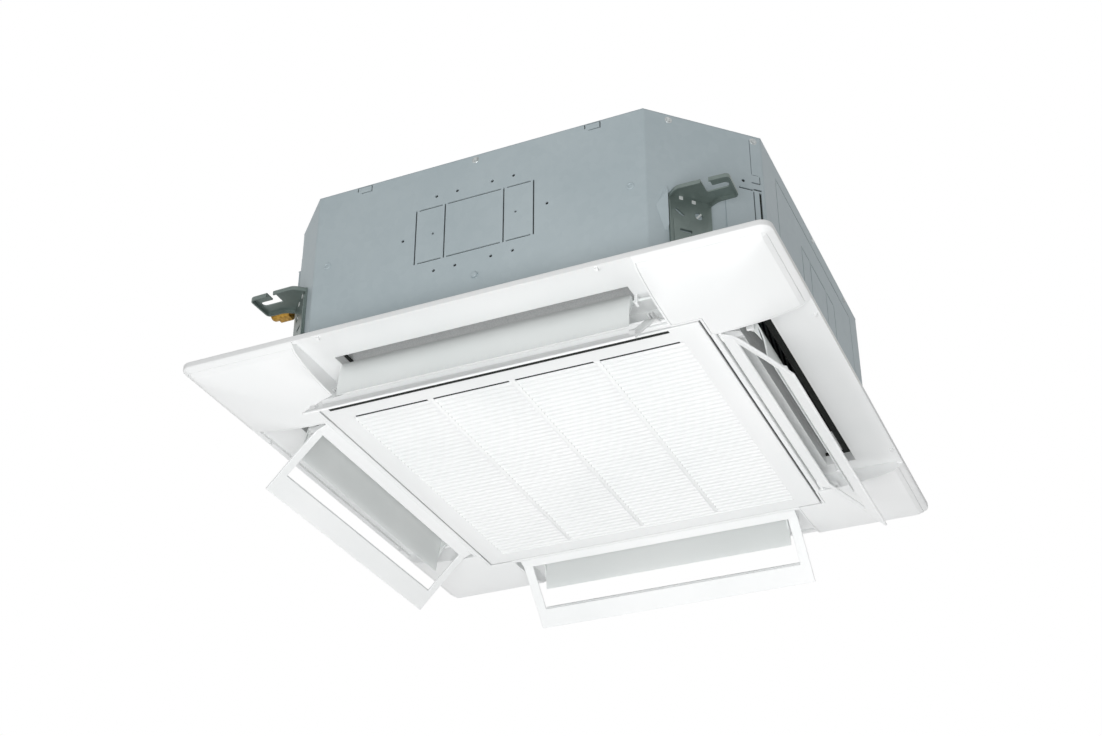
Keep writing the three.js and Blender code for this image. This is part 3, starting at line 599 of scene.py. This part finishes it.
# roof: a sheet with two pressed beads, kept under the height of the roof plate
roof = {
    "bottom": 296.3, "top": 297.1,
    "beadTop": 298, "beads": (-150, 150), "beadHalf": 9, "beadReach": 250,
}


def roofPlate():
    bm = bmesh.new()
    addPlan(bm, casingOutline(), roof["bottom"], roof["top"])
    for place in roof["beads"]:
        wide, reach = roof["beadHalf"], roof["beadReach"]
        low = roof["top"] - 0.4
        addBlock(bm, (place - wide, -reach, low), (place + wide, reach, roof["beadTop"]), 0.5)
    finishPiece("roofPlate", bm, roofSteel, "unit", ["roof_plate"])


roofPlate()


# hatch cover on the chamfer, a pressed lid with rounded corners
hatch = {"near": 31, "far": 78, "bottom": 44, "top": 189, "sheet": 1.2, "stand": 0.3, "corner": 4}


def hatchCover():
    bm = bmesh.new()
    back = -hatch["stand"]
    low = (hatch["near"], back - hatch["sheet"], hatch["bottom"])
    verts = addBlock(bm, low, (hatch["far"], back, hatch["top"]))
    through = [e for v in verts for e in v.link_edges if abs(e.verts[0].co.y - e.verts[1].co.y) > 0.5]
    bevelEdges(bm, list(set(through)), hatch["corner"], 4)
    move(bm, bm.verts[:], chamferFace)
    finishPiece("hatchCover", bm, casingSteel, "unit", ["hatch_cover"])


hatchCover()


# stands an upright turned piece on a face of the casing
def standOn(turn, x, z):
    return turn @ Matrix.Translation((x, 0, z)) @ Matrix.Rotation(radians(90), 4, "X")


# screws: a pan head on a washer
screws = {
    "radius": 4.2, "places": [   # face, across, z
        (frontFace, 0, 288), (farFace, 0, 288), (rightFace, 1, 287), (rightFace, 197, 287),
        (leftFace, 1, 287), (leftFace, 197, 287), (chamferFace, -57, 287), (chamferFace, 86, 287),
    ],
}


def casingScrews():
    bm = bmesh.new()
    radius = screws["radius"]
    head = [(0, 2.4), (radius * 0.55, 2.2), (radius * 0.95, 1.2), (radius, 0.5), (radius, 0.1), (0, 0.1)]
    washer = [(0, 0.5), (radius * 1.35, 0.5), (radius * 1.45, 0.1), (0, 0.1)]
    for turn, x, z in screws["places"]:
        made = addTurned(bm, head, steps=20) + addTurned(bm, washer, steps=24)
        move(bm, made, standOn(turn, x, z))
    finishPiece("casingScrews", bm, zinc, "unit")


casingScrews()


# pressed into the casing: a plug under the knock-out, two dimples, and a gusset beside each bracket
pressings = {
    "plug": (4, 69), "plugShape": [(0, 3.4), (3.4, 3.2), (4.6, 2.2), (4.9, 0.2), (0, 0.2)],
    "collarShape": [(5.0, 0.2), (6.2, 0.9), (7.0, 0.2)],
    "dimples": [(-256, 158), (256, 158)], "dimpleShape": [(3.0, 0.2), (4.0, 1.3), (5.6, 1.1), (6.4, 0.2)],
    "gussetFoot": [(-65.5, 161), (-83.5, 120), (-71, 78), (-65.5, 78)],
    "gussetCrest": [(-65.5, 150), (-65.5, 88)], "gusset": 4.5,
}


def casingPressings():
    bm = bmesh.new()
    for turn in (frontFace, farFace):
        plug = addTurned(bm, pressings["plugShape"], steps=28)
        collar = addTurned(bm, pressings["collarShape"], closed=True, steps=28)
        move(bm, plug + collar, standOn(turn, *pressings["plug"]))
        for x, z in pressings["dimples"]:
            ring = addTurned(bm, pressings["dimpleShape"], closed=True, steps=28)
            move(bm, ring, standOn(turn, x, z))
    # the gusset rises from the chamfer towards the bracket's flange
    for degrees in (45, 135, 225):   # the piping bay takes the fourth place
        hand = 1 if degrees in (45, 225) else -1
        foot = [bm.verts.new((hand * x, -0.2, z)) for x, z in pressings["gussetFoot"]]
        crest = [bm.verts.new((hand * x, -pressings["gusset"], z)) for x, z in pressings["gussetCrest"]]
        corner = foot + crest
        for loop in ((0, 1, 4), (1, 2, 5, 4), (2, 3, 5), (3, 0, 4, 5), (0, 3, 2, 1)):
            bm.faces.new([corner[index] for index in loop])
        move(bm, corner, faceTurn(degrees, chamferDistance))
    finishPiece("casingPressings", bm, casingSteel, "unit", sharpAngle=20)


casingPressings()
print("casing details ready")


# panel: rim, recesses, mouths and the wall round the grille
panel = {
    "half": 475, "corner": 18, "rimHeight": 9.5, "bulge": 25, "bulgeStart": 318, "rimWidth": 9, "base": 5,
    "opening": 319.5, "wall": 3.5, "wallFoot": -34.5, "innerWall": 327.5, "recess": 274, "endWall": 3,
    "mouthIn": 352, "mouthOut": 402, "mouth": 240.5, "cheek": 5.5, "collarTop": 12, "lipTop": 17,
    "band": 459, "nubs": (-231, 220), "nubHalf": 2.5,
}


def bulgeZ(out):
    share = max(0, min(1, (out - panel["bulgeStart"]) / (panel["half"] - panel["bulgeStart"])))
    return -panel["rimHeight"] - panel["bulge"] * sqrt(1 - share * share)


# the underside bulges down towards the grille, and ends in a straight band at the rim
def undersideZ(out):
    band, half = panel["band"], panel["half"]
    if out < band:
        return bulgeZ(out)
    share = min(1, (out - band) / (half - band))
    return bulgeZ(band) + (bulgeZ(half) - bulgeZ(band)) * share


# distance from the centre in a square that has the panel's round corners
def squareDistance(x, y):
    start = panel["half"] - panel["corner"]
    across, along = abs(x), abs(y)
    if across > start and along > start:
        return start + sqrt((across - start) ** 2 + (along - start) ** 2)
    return max(across, along)


# runs a section of (outward, z) round the whole panel, with round corners
def addRoundRun(bm, section, cornerSteps=6):
    start = panel["half"] - panel["corner"]
    for degrees in sides.values():
        verts = [bm.verts.new((out, -start, z)) for out, z in section]
        edges = [bm.edges.new((a, b)) for a, b in zip(verts, verts[1:] + verts[:1])]
        done = bmesh.ops.extrude_edge_only(bm, edges=edges)["geom"]
        moved = [item for item in done if isinstance(item, bmesh.types.BMVert)]
        ends = [item for item in done if isinstance(item, bmesh.types.BMEdge)]
        bmesh.ops.translate(bm, verts=moved, vec=(0, 2 * start, 0))
        before = set(bm.verts)
        bmesh.ops.spin(
            bm, geom=moved + ends, cent=(start, start, 0), axis=(0, 0, 1), dvec=(0, 0, 0),
            angle=pi / 2, steps=cornerSteps, use_merge=False, use_duplicate=False,
        )
        verts += moved + [vert for vert in bm.verts if vert not in before]
        move(bm, verts, Matrix.Rotation(radians(degrees), 4, "Z"))


def panelFrame():
    bm = bmesh.new()
    half, rimIn = panel["half"], panel["half"] - panel["rimWidth"]
    section = [
        (rimIn, -0.1), (half - 1.5, -0.1), (half - 0.4, -0.6), (half, -1.6), (half, -8), (half - 0.4, -9.3),
    ]
    lower = [(out, undersideZ(out)) for out in (half - 1.2, half - 4, rimIn)]
    addRoundRun(bm, section + lower)
    # base plate round the mouths and out to the rim
    recess, end, base = panel["recess"], panel["endWall"], panel["base"]
    mouthIn, mouthOut, mouth = panel["mouthIn"], panel["mouthOut"], panel["mouth"]
    opening, wall = panel["opening"], panel["innerWall"]

    def sideShape():
        verts = addBlock(bm, (opening + panel["wall"], -rimIn + 4, -base), (mouthIn, rimIn - 4, -0.2))
        verts += addBlock(bm, (mouthOut, -rimIn + 4, -base), (rimIn + 1, rimIn - 4, -0.2))
        for hand in (-1, 1):
            low, high = sorted((hand * mouth, hand * (recess + end)))
            verts += addBlock(bm, (mouthIn - 1, low, -base), (mouthOut + 1, high, -0.2))
        # the wall beside the grille, its foot rounded
        foot = undersideZ(wall)
        section = [
            (opening, -0.2), (opening, foot + 1.2), (opening + 1.2, foot), (wall - 1.5, foot),
            (wall - 0.3, foot + 1.4), (wall + 1.5, -base), (wall + 1.5, -0.2),
        ]
        verts += addRun(bm, section, -recess - end, recess + end)
        # end walls, whose lower edge follows the underside
        steps = 14
        outs = [wall - 2 + (panel["band"] - wall + 2) * step / steps for step in range(steps + 1)]
        edge = [(out, undersideZ(out) + 0.3) for out in (*outs, rimIn + 1)]
        for hand in (-1, 1):
            low, high = sorted((hand * recess, hand * (recess + end)))
            verts += addRun(bm, [(rimIn + 1, -1), *reversed(edge), (wall - 2, -1)], low, high)
        # the mouth's collar, whose inner lip covers the seal, and the bosses for the louvre's pins
        collar, lip, cheek = panel["collarTop"], panel["lipTop"], panel["cheek"]
        for a, b, top in (
            (mouthIn - 3, mouthIn, collar), (mouthIn - 0.6, mouthIn, lip), (mouthOut, mouthOut + 3, collar),
        ):
            verts += addBlock(bm, (a, -mouth - cheek, -1), (b, mouth + cheek, top))
        for hand in (-1, 1):
            low, high = sorted((hand * mouth, hand * (mouth + cheek)))
            verts += addBlock(bm, (mouthIn, low, -1), (mouthOut, high, collar))
            verts += addBlock(bm, (366, low, -20), (378, high, -1), 1.5)
        return verts

    everySide(bm, sideShape)
    # collar round the fan's air path, and the corners of the wall beside the grille
    outside, foot = opening + panel["wall"], panel["wallFoot"]
    for low, high, z0, z1 in (
        (-outside, opening, -1, panel["collarTop"]),
        (-outside, -recess - end + 1, foot, -1),
        (recess + end - 1, opening, foot, -1),
    ):
        everySide(bm, lambda: addBlock(bm, (opening, low, z0), (outside, high, z1)))
    frameObject = finishPiece("panelFrame", bm, panelAbs, "unit", ["panel_frame"], 20)

    # the rim is thinner along each recess, apart from two nubs that the closed draft frame rests on
    cutter = bmesh.new()
    rimBottom, nubs, nubHalf = -panel["rimHeight"], panel["nubs"], panel["nubHalf"]

    def thinRim():
        stops = [-recess, *[place + hand * nubHalf for place in nubs for hand in (-1, 1)], recess]
        made = []
        for low, high in zip(stops[::2], stops[1::2]):
            made += addBlock(cutter, (rimIn - 1, low, -30), (half + 5, high, rimBottom))
        for place in nubs:
            low, high = place - nubHalf - 0.1, place + nubHalf + 0.1
            made += addBlock(cutter, (rimIn + 5, low, -30), (half + 5, high, rimBottom))
            made += addBlock(cutter, (rimIn - 1, low, -30), (rimIn + 5.1, high, rimBottom - 5))
        return made

    everySide(cutter, thinRim)
    cutAway(frameObject, cutter, 20)


panelFrame()
print("panel frame ready")


# corner lids: a bowed skin with a turned-up edge
lid = {
    "edge": 277.3, "rim": 465.7, "grilleCorner": 323.3, "top": -5.3, "skin": 2.4, "steps": 14, "round": 1.1,
}


def cornerLid(name, sx, sy):
    bm = bmesh.new()
    grid = bmesh.ops.create_grid(bm, x_segments=lid["steps"], y_segments=lid["steps"], size=1)["verts"]
    span = lid["rim"] - lid["edge"]
    for vert in grid:
        vert.co.x = lid["edge"] + span * (vert.co.x + 1) / 2
        vert.co.y = lid["edge"] + span * (vert.co.y + 1) / 2
    limit = lid["grilleCorner"]

    def creaseAt(place):
        for normal in ((1, 0, 0), (0, 1, 0)):
            whole = bm.verts[:] + bm.edges[:] + bm.faces[:]
            point = Vector(normal) * place
            bmesh.ops.bisect_plane(bm, geom=whole, dist=0.01, plane_co=point, plane_no=normal)

    def bowUnderside(verts):
        for vert in verts:
            vert.co.z = undersideZ(squareDistance(vert.co.x, vert.co.y))

    creaseAt(limit)
    inner = [f for f in bm.faces if max(f.calc_center_median().xy) < limit]
    bmesh.ops.delete(bm, geom=inner, context="FACES")
    bowUnderside(bm.verts)
    rim = [e for e in bm.edges if len(e.link_faces) == 1]
    raised = extrudeEdges(bm, rim, (0, 0, 1))
    for vert in raised:
        vert.co.z = lid["top"]
    corner = [
        e for e in bm.edges
        if min(e.verts[0].co.x, e.verts[0].co.y) > lid["rim"] - 0.1
        and abs(e.verts[0].co.z - e.verts[1].co.z) > 2
        and (e.verts[0].co.xy - e.verts[1].co.xy).length < 0.1
    ]
    bevelEdges(bm, corner, panel["corner"] - panel["rimWidth"], 5)
    creaseAt(panel["band"])
    bowUnderside([vert for vert in bm.verts if vert.co.z < lid["top"] - 1])
    bm.normal_update()
    roundFolds(bm, lid["round"], 3)
    bmesh.ops.recalc_face_normals(bm, faces=bm.faces)
    bmesh.ops.solidify(bm, geom=bm.faces[:], thickness=lid["skin"])
    move(bm, bm.verts[:], Matrix.Diagonal((sx, sy, 1, 1)))
    finishPiece(f"cornerLid_{name}", bm, panelAbs, "unit", [f"corner_lid_{name}"], 13)


for name, (sx, sy) in corners.items():
    cornerLid(name, sx, sy)
print("corner lids ready")


# draft frame: a flat ring with a heavier inner bar, tilted down on its hinge
draft = {
    "hingeOut": 332, "hingeZ": -29, "half": 265, "arm": 18,
    "open": {"right": 49, "far": 49, "left": 49, "near": 46.5},
    "openingIn": 350, "openingOut": 436, "sheet": 4, "pin": 2.5, "round": 1.4,
    # sections of (outward, z) with the frame closed
    "underside": [(331, -31.5), (350, -22), (410, -17.5), (473, -14.5)],
    "lip": [(434.5, -13), (436.5, -13), (436, -6.5), (434.5, -6.5)],
    "linkPlate": [(334, -28), (352, -21), (362, -9), (352, -8), (336, -20)],
    "hook": [(438, -14), (458, -14), (454, -9), (451, -7.5), (447, -9.5), (441, -12)],
}


def draftZ(out):
    stations = draft["underside"]
    for (a, za), (b, zb) in zip(stations, stations[1:]):
        if out <= b:
            return za + (zb - za) * (out - a) / (b - a)
    return stations[-1][1]


def draftFrame(name, degrees):
    bm = bmesh.new()
    outs = [331, 334, 340, 346, 350, 370, 390, 410, 436, 454, 470, 473]
    alongs = [-draft["half"], -draft["half"] + draft["arm"], draft["half"] - draft["arm"], draft["half"]]
    grid = bmesh.ops.create_grid(bm, x_segments=len(outs) - 1, y_segments=3, size=1)["verts"]
    for vert in grid:
        column = round((vert.co.x + 1) / 2 * (len(outs) - 1))
        row = round((vert.co.y + 1) / 2 * 3)
        vert.co = (outs[column], alongs[row], draftZ(outs[column]))
    hole = [
        f for f in bm.faces
        if draft["openingIn"] < f.calc_center_median().x < draft["openingOut"]
        and abs(f.calc_center_median().y) < alongs[2]
    ]
    bmesh.ops.delete(bm, geom=hole, context="FACES")
    bmesh.ops.recalc_face_normals(bm, faces=bm.faces)
    if bm.faces[:][0].normal.z < 0:
        bmesh.ops.reverse_faces(bm, faces=bm.faces)
    extrudeFaces(bm, bm.faces[:], (0, 0, draft["sheet"]))
    bmesh.ops.recalc_face_normals(bm, faces=bm.faces)
    roundFolds(bm, draft["round"], 3)
    half, pin, reach = draft["half"], draft["pin"], panel["recess"] + panel["endWall"]
    openHalf = half - draft["arm"]
    addRun(bm, draft["lip"], -openHalf, openHalf)
    # on each arm: a snap hook near the outer bar, two link plates above the hinge, and its pin
    x, z = draft["hingeOut"], draft["hingeZ"]
    for hand in (-1, 1):
        for low, high in ((256, 258.5), (261, 263)):
            addRun(bm, draft["linkPlate"], hand * low, hand * high)
        addRun(bm, draft["hook"], hand * 251, hand * 260)
        for start, end, radius in ((openHalf, half, pin + 1), (half - 2, reach, pin)):
            addBar(bm, (x, hand * start, z), (x, hand * end, z), radius)
    move(bm, bm.verts[:], turnAbout((x, 0, z), draft["open"][name], "Y"))
    move(bm, bm.verts[:], Matrix.Rotation(radians(degrees), 4, "Z"))
    node = f"draft_frame_{name}"
    finishPiece(f"draftFrame_{name}", bm, panelAbs, node, [node])


# louvre: a bowed blade between two cheeks, on a pin at each end
louver = {
    "pivotOut": 372, "pivotZ": -12, "top": (8, 7), "tip": (21, -55), "bow": 3, "sheet": 2.4,
    "half": 238, "pin": 2.4, "steps": 14,
}


def louverBlade(name, degrees):
    bm = bmesh.new()
    top, tip = Vector(louver["top"]), Vector(louver["tip"])
    along = tip - top
    across = Vector((-along.y, along.x)).normalized()
    front, back = [], []
    for step in range(louver["steps"] + 1):
        share = step / louver["steps"]
        half = louver["sheet"] / 2 * min(1, 0.35 + 6 * min(share, 1 - share))
        middle = top + along * share + across * louver["bow"] * sin(pi * share)
        front.append(middle + across * half)
        back.insert(0, middle - across * half)
    half = louver["half"]
    addRun(bm, [tuple(p) for p in front + back], -half, half)
    cheek = [(-4, -3), (-3, 5), louver["top"], (12, -13), (15, -26), (4, -8)]
    addRun(bm, cheek, half - 3, half)
    addRun(bm, cheek, -half, -half + 3)
    addBar(bm, (0, half - 2, 0), (0, 279.7, 0), louver["pin"])
    addBar(bm, (0, -half + 2, 0), (0, -246, 0), louver["pin"])
    move(bm, bm.verts[:], Matrix.Translation((louver["pivotOut"], 0, louver["pivotZ"])))
    move(bm, bm.verts[:], Matrix.Rotation(radians(degrees), 4, "Z"))
    finishPiece(f"louver_{name}", bm, louverAbsShaded, f"louver_{name}", [f"louver_{name}"], 50)


# foam seal round the outlet duct, its edges rounded by the knife
seal = {
    "outer": (349, -246, 408, 246), "inner": (351, -237, 384, 237),
    "bottom": 12.3, "top": 17, "round": 0.8,
}


def outletSeal(name, degrees):
    bm = bmesh.new()
    addRing(bm, (seal["outer"], seal["inner"]), seal["bottom"], seal["top"], seal["round"], 2)
    move(bm, bm.verts[:], Matrix.Rotation(radians(degrees), 4, "Z"))
    finishPiece(f"outletSeal_{name}", bm, sealFoam, "unit", [f"outlet_seal_{name}"])


for name, degrees in sides.items():
    draftFrame(name, degrees)
    louverBlade(name, degrees)
    outletSeal(name, degrees)
print("draft frames, louvres and seals ready")


# intake grille: a border plate, long slats and ribs across them
grille = {
    "half": 316, "bottom": -35, "top": -29, "round": 1.5, "pitch": 12, "slot": 6.4, "rows": 46,
    "fieldX": 278, "fieldNear": -275, "ribs": (-140, 0, 140), "rib": 8,
    "filterX": 302, "filterNear": -303, "filterFar": 280, "edgeTop": -21, "lean": 4.2,
    "hingeGap": (-302, 268, -312, -305), "shadowGap": (-277.5, -273), "ridge": (279.5, 285),
}


def intakeGrille():
    bm = bmesh.new()
    half, bottom, top = grille["half"], grille["bottom"], grille["top"]
    fieldX, near = grille["fieldX"], grille["fieldNear"]
    far = near + grille["rows"] * grille["pitch"]
    edges = ((-half, -half, half, half), (-fieldX, near, fieldX, far))
    addRing(bm, edges, bottom, top, grille["round"], 3)
    # each slat's near face slopes, so that its slot narrows upwards and stays bright
    solid, lean = (grille["pitch"] - grille["slot"]) / 2, grille["lean"]
    for row in range(grille["rows"] + 1):
        y = near + row * grille["pitch"]
        verts = addBlock(bm, (-fieldX - 1, y - solid, bottom + 0.2), (fieldX + 1, y + solid, top - 0.2))
        for vert in verts:
            if vert.co.y < y and vert.co.z > bottom + 1 and row > 0:
                vert.co.y -= lean
        foot = [e for v in verts for e in v.link_edges if max(end.co.z for end in e.verts) < bottom + 1]
        along = [e for e in set(foot) if abs(e.verts[0].co.x - e.verts[1].co.x) > 10]
        bevelEdges(bm, along, 1.0, 2)
    rib = grille["rib"] / 2
    for x in grille["ribs"]:
        addBlock(bm, (x - rib, near - 1, bottom + 0.1), (x + rib, far + 1, top), 0.8)
    x, y0, y1 = grille["filterX"] + 2, grille["filterNear"] - 2, grille["filterFar"] + 2
    edgeTop = grille["edgeTop"]
    for y in (y0, y1):
        addBlock(bm, (-x - 1, y - 1, top - 1), (x + 1, y + 1, edgeTop), 0.4)
    for side in (-x, x):
        addBlock(bm, (side - 1, y0, top - 1), (side + 1, y1, edgeTop), 0.4)
    for place in (-170, 170):
        for rail in (place - 21.3, place + 21.3):
            addBlock(bm, (rail - 1, 288, top - 1), (rail + 1, 312, edgeTop - 1), 0.3)
    ridgeNear, ridgeFar = grille["ridge"]
    addBlock(bm, (-fieldX, ridgeNear, bottom - 1.4), (fieldX, ridgeFar, bottom + 1), 1.1, 3)
    plate = finishPiece("intakeGrille", bm, panelAbs, "grille", ["intake_grille"])

    # a gap along the hinge and one above each column of slots, both backed with black foam that paints the
    # shade in the gaps
    x0, x1, y0, y1 = grille["hingeGap"]
    gaps = [(x0, x1, y0, y1)]
    stops = [-fieldX, *grille["ribs"], fieldX]
    y0, y1 = grille["shadowGap"]
    for a, b in zip(stops, stops[1:]):
        gaps.append((a + 5, b - 5, y0, y1))
    cutter, shadeBacking = bmesh.new(), bmesh.new()
    for x0, x1, y0, y1 in gaps:
        addBlock(cutter, (x0, y0, bottom - 3), (x1, y1, bottom + 3))
        addBlock(shadeBacking, (x0 + 0.05, y0 + 0.05, bottom + 0.5), (x1 - 0.05, y1 - 0.05, bottom + 2.9))
    cutAway(plate, cutter)
    # the black strips in the gaps are painted shade
    finishPiece("grilleGapPaintedShade", shadeBacking, sealFoam, "grille")


# air filter: a ribbed frame with a fine net across it
def airFilter():
    bm = bmesh.new()
    x, near, far = grille["filterX"], grille["filterNear"], grille["filterFar"]
    low, high, bar = -28.7, -24.7, 7
    for side in (-1, 1):
        edge = side * (x - bar / 2)
        addBlock(bm, (edge - bar / 2, near, low), (edge + bar / 2, far, high), 0.8)
    for y in (near, far - bar):
        addBlock(bm, (-x + 1, y, low), (x - 1, y + bar, high), 0.8)
    columns, rows, rib = 6, 5, 2
    for column in range(1, columns):
        place = -x + 2 * x * column / columns
        addBlock(bm, (place - rib / 2, near + 1, low + 0.5), (place + rib / 2, far - 1, high - 0.5), 0.4)
    for row in range(1, rows):
        place = near + (far - near) * row / rows
        addBlock(bm, (-x + 1, place - rib / 2, low + 0.5), (x - 1, place + rib / 2, high - 0.5), 0.4)
    addBlock(bm, (-x + 2, near + 2, low + 1.2), (x - 2, far - 2, low + 1.6))
    finishPiece("airFilter", bm, filterNet, "grille", ["air_filter"])


intakeGrille()
airFilter()
print("grille and filter ready")


# hanging brackets: a pressed ear with rolled lips and a hook slot, on a flange bent down the chamfer
bracket = {
    "top": 146, "sheet": 3, "lip": 8, "roll": 2.4, "flangeBottom": 34, "flangeFrom": -64, "flangeTo": 5,
    "slotMouth": 360, "slotTurn": 378, "slot": 12.5, "boltX": 390, "frontEdge": 411,
    "holes": [(-16, 115, 6.6), (-14, 78, 3.2), (-52, 60, 2.6)],   # across, z, radius
}


def onChamfer(outward, lateral):
    return ((outward + lateral) / sqrt(2), (outward - lateral) / sqrt(2))


# places (lateral, outward, z) on the chamfer where x and y are both positive
chamferQuadrant = Matrix.Rotation(radians(-45), 4, "Z")


def hangingBracket(name, sx, sy):
    bm = bmesh.new()
    inner = chamferDistance + 0.3
    face = inner + bracket["sheet"]
    front, top = bracket["frontEdge"], bracket["top"]
    flangeFrom, flangeTo, foot = bracket["flangeFrom"], bracket["flangeTo"], bracket["flangeBottom"]
    mouth, slot, turnY = bracket["slotMouth"], bracket["slot"], bracket["slotTurn"]
    arc = []
    for step in range(9):
        angle = pi * step / 8
        arc.append((bracket["boltX"] + slot / 2 * sin(angle), turnY + slot / 2 - slot / 2 * cos(angle)))
    slotLine = [
        (mouth, front - 0.8), (mouth, turnY), *arc, (mouth + slot, turnY + slot), (mouth + slot, front - 1.1),
    ]
    bendStart, bendEnd = onChamfer(inner, flangeFrom), onChamfer(inner, flangeTo)
    outline = [bendStart, (322, front), *slotLine, (404, front - 2), (402, 356), (370, 356), bendEnd]
    verts = [bm.verts.new((x, y, top)) for x, y in outline]
    bm.faces.new(verts)
    lipEdges = []
    for index, pair in enumerate(zip(verts, verts[1:])):
        if not 2 <= index <= len(slotLine):   # the slot's edges stay flat
            lipEdges.append(bm.edges.get(pair))
    extrudeEdges(bm, lipEdges, (0, 0, -bracket["lip"]))
    bm.normal_update()
    upright = [e for e in bm.edges if len(e.link_faces) == 2 and abs(e.verts[0].co.z - e.verts[1].co.z) > 2]
    bevelEdges(bm, upright, 7, 4)
    folds = [
        e for e in bm.edges
        if len(e.link_faces) == 2 and min(end.co.z for end in e.verts) > top - 0.1
    ]
    bevelEdges(bm, folds, bracket["roll"], 3)
    bmesh.ops.recalc_face_normals(bm, faces=bm.faces)
    bmesh.ops.solidify(bm, geom=bm.faces[:], thickness=2.5)
    flangePlan = [bendStart, onChamfer(face, flangeFrom), onChamfer(face, flangeTo), bendEnd]
    addPlan(bm, flangePlan, foot, top - 0.5)
    # a pressed field on the flange, and a folded edge beside it
    pressed = addBlock(bm, (-58, face - 0.3, foot + 2), (-2, face + 1.3, 101), 1.2, 2)
    pressed += addBlock(bm, (-64, face - 0.3, foot), (-61.5, face + 2.2, 132), 0.9, 2)
    move(bm, pressed, chamferQuadrant)
    mirrored = Matrix.Diagonal((sx, sy, 1, 1))
    move(bm, bm.verts[:], mirrored)
    tidyMesh(bm)
    piece = makeObject(f"hangingBracket_{name}", bm)

    # slots and round holes through the flange
    punch = bmesh.new()
    back, out = face - 10, face + 10
    slanted = addBlock(punch, (-8, back, -2.6), (8, out, 2.6))
    move(punch, slanted, Matrix.Translation((-47, 0, 115)) @ Matrix.Rotation(radians(38), 4, "Y"))
    addBlock(punch, (-48, back, 79.5), (-29, out, 84.5))
    for x, z, radius in bracket["holes"]:
        addBar(punch, (x, back, z), (x, out, z), radius)
    move(punch, punch.verts[:], mirrored @ chamferQuadrant)
    cutAway(piece, punch)
    dress(piece, bracketSteel, "unit", [f"hanging_bracket_{name}"])


# notches where the ear bends off the flange, and a tab across each round hole, all painted near white as a
# painted highlight
def bracketNotches():
    bm = bmesh.new()
    face = chamferDistance + 3.3
    for sx, sy in corners.values():
        made = []
        for across, z in ((-44, 141), (-23.5, 138)):
            made += addBlock(bm, (across - 3.2, face - 0.2, z - 3), (across + 3.2, face + 1.1, z + 3), 0.9)
        tab = addBlock(bm, (-7.5, -2.6, -1.4), (7.5, -0.6, 1.4), 0.3)
        move(bm, tab, Matrix.Translation((-16, face, 115)) @ Matrix.Rotation(radians(-50), 4, "Y"))
        move(bm, made + tab, Matrix.Diagonal((sx, sy, 1, 1)) @ chamferQuadrant)
    finishPiece("bracketNotches", bm, notchHighlight, "unit")


for name, (sx, sy) in corners.items():
    hangingBracket(name, sx, sy)
bracketNotches()
print("brackets ready")


# brass unions: flare nut, thread and cap, turned and then laid along X
def union(name, z, thread, nutRadius):
    bm = bmesh.new()
    seat = casing["bayWall"] - 2.1
    profile = [(0, 0), (thread, 0), (thread, 3)]
    for turn in range(14):
        start = 4 + turn * 2.4
        profile += [(thread, start), (thread - 0.9, start + 1.2)]
    profile += [(thread, 38), (thread, 40), (0, 40)]
    addTurned(bm, profile, steps=36)
    nut = addBar(bm, (0, 0, 38), (0, 0, 62), nutRadius, segments=6)
    bevelEdges(bm, list({e for v in nut for e in v.link_edges}), 0.9, 2)
    cap = thread - 1
    addTurned(bm, [(0, 60), (cap, 60), (cap, 71), (cap - 1.6, 74), (0, 74)], steps=36)
    lay = Matrix.Translation((seat, casing["unionY"], z)) @ Matrix.Rotation(radians(-90), 4, "Y")
    move(bm, bm.verts[:], lay)
    finishPiece(f"{name}Union", bm, brass, "unit", [f"{name}_union"])


for name, (z, _, thread, nutRadius) in casing["unions"].items():
    union(name, z, thread, nutRadius)
print("unions ready")
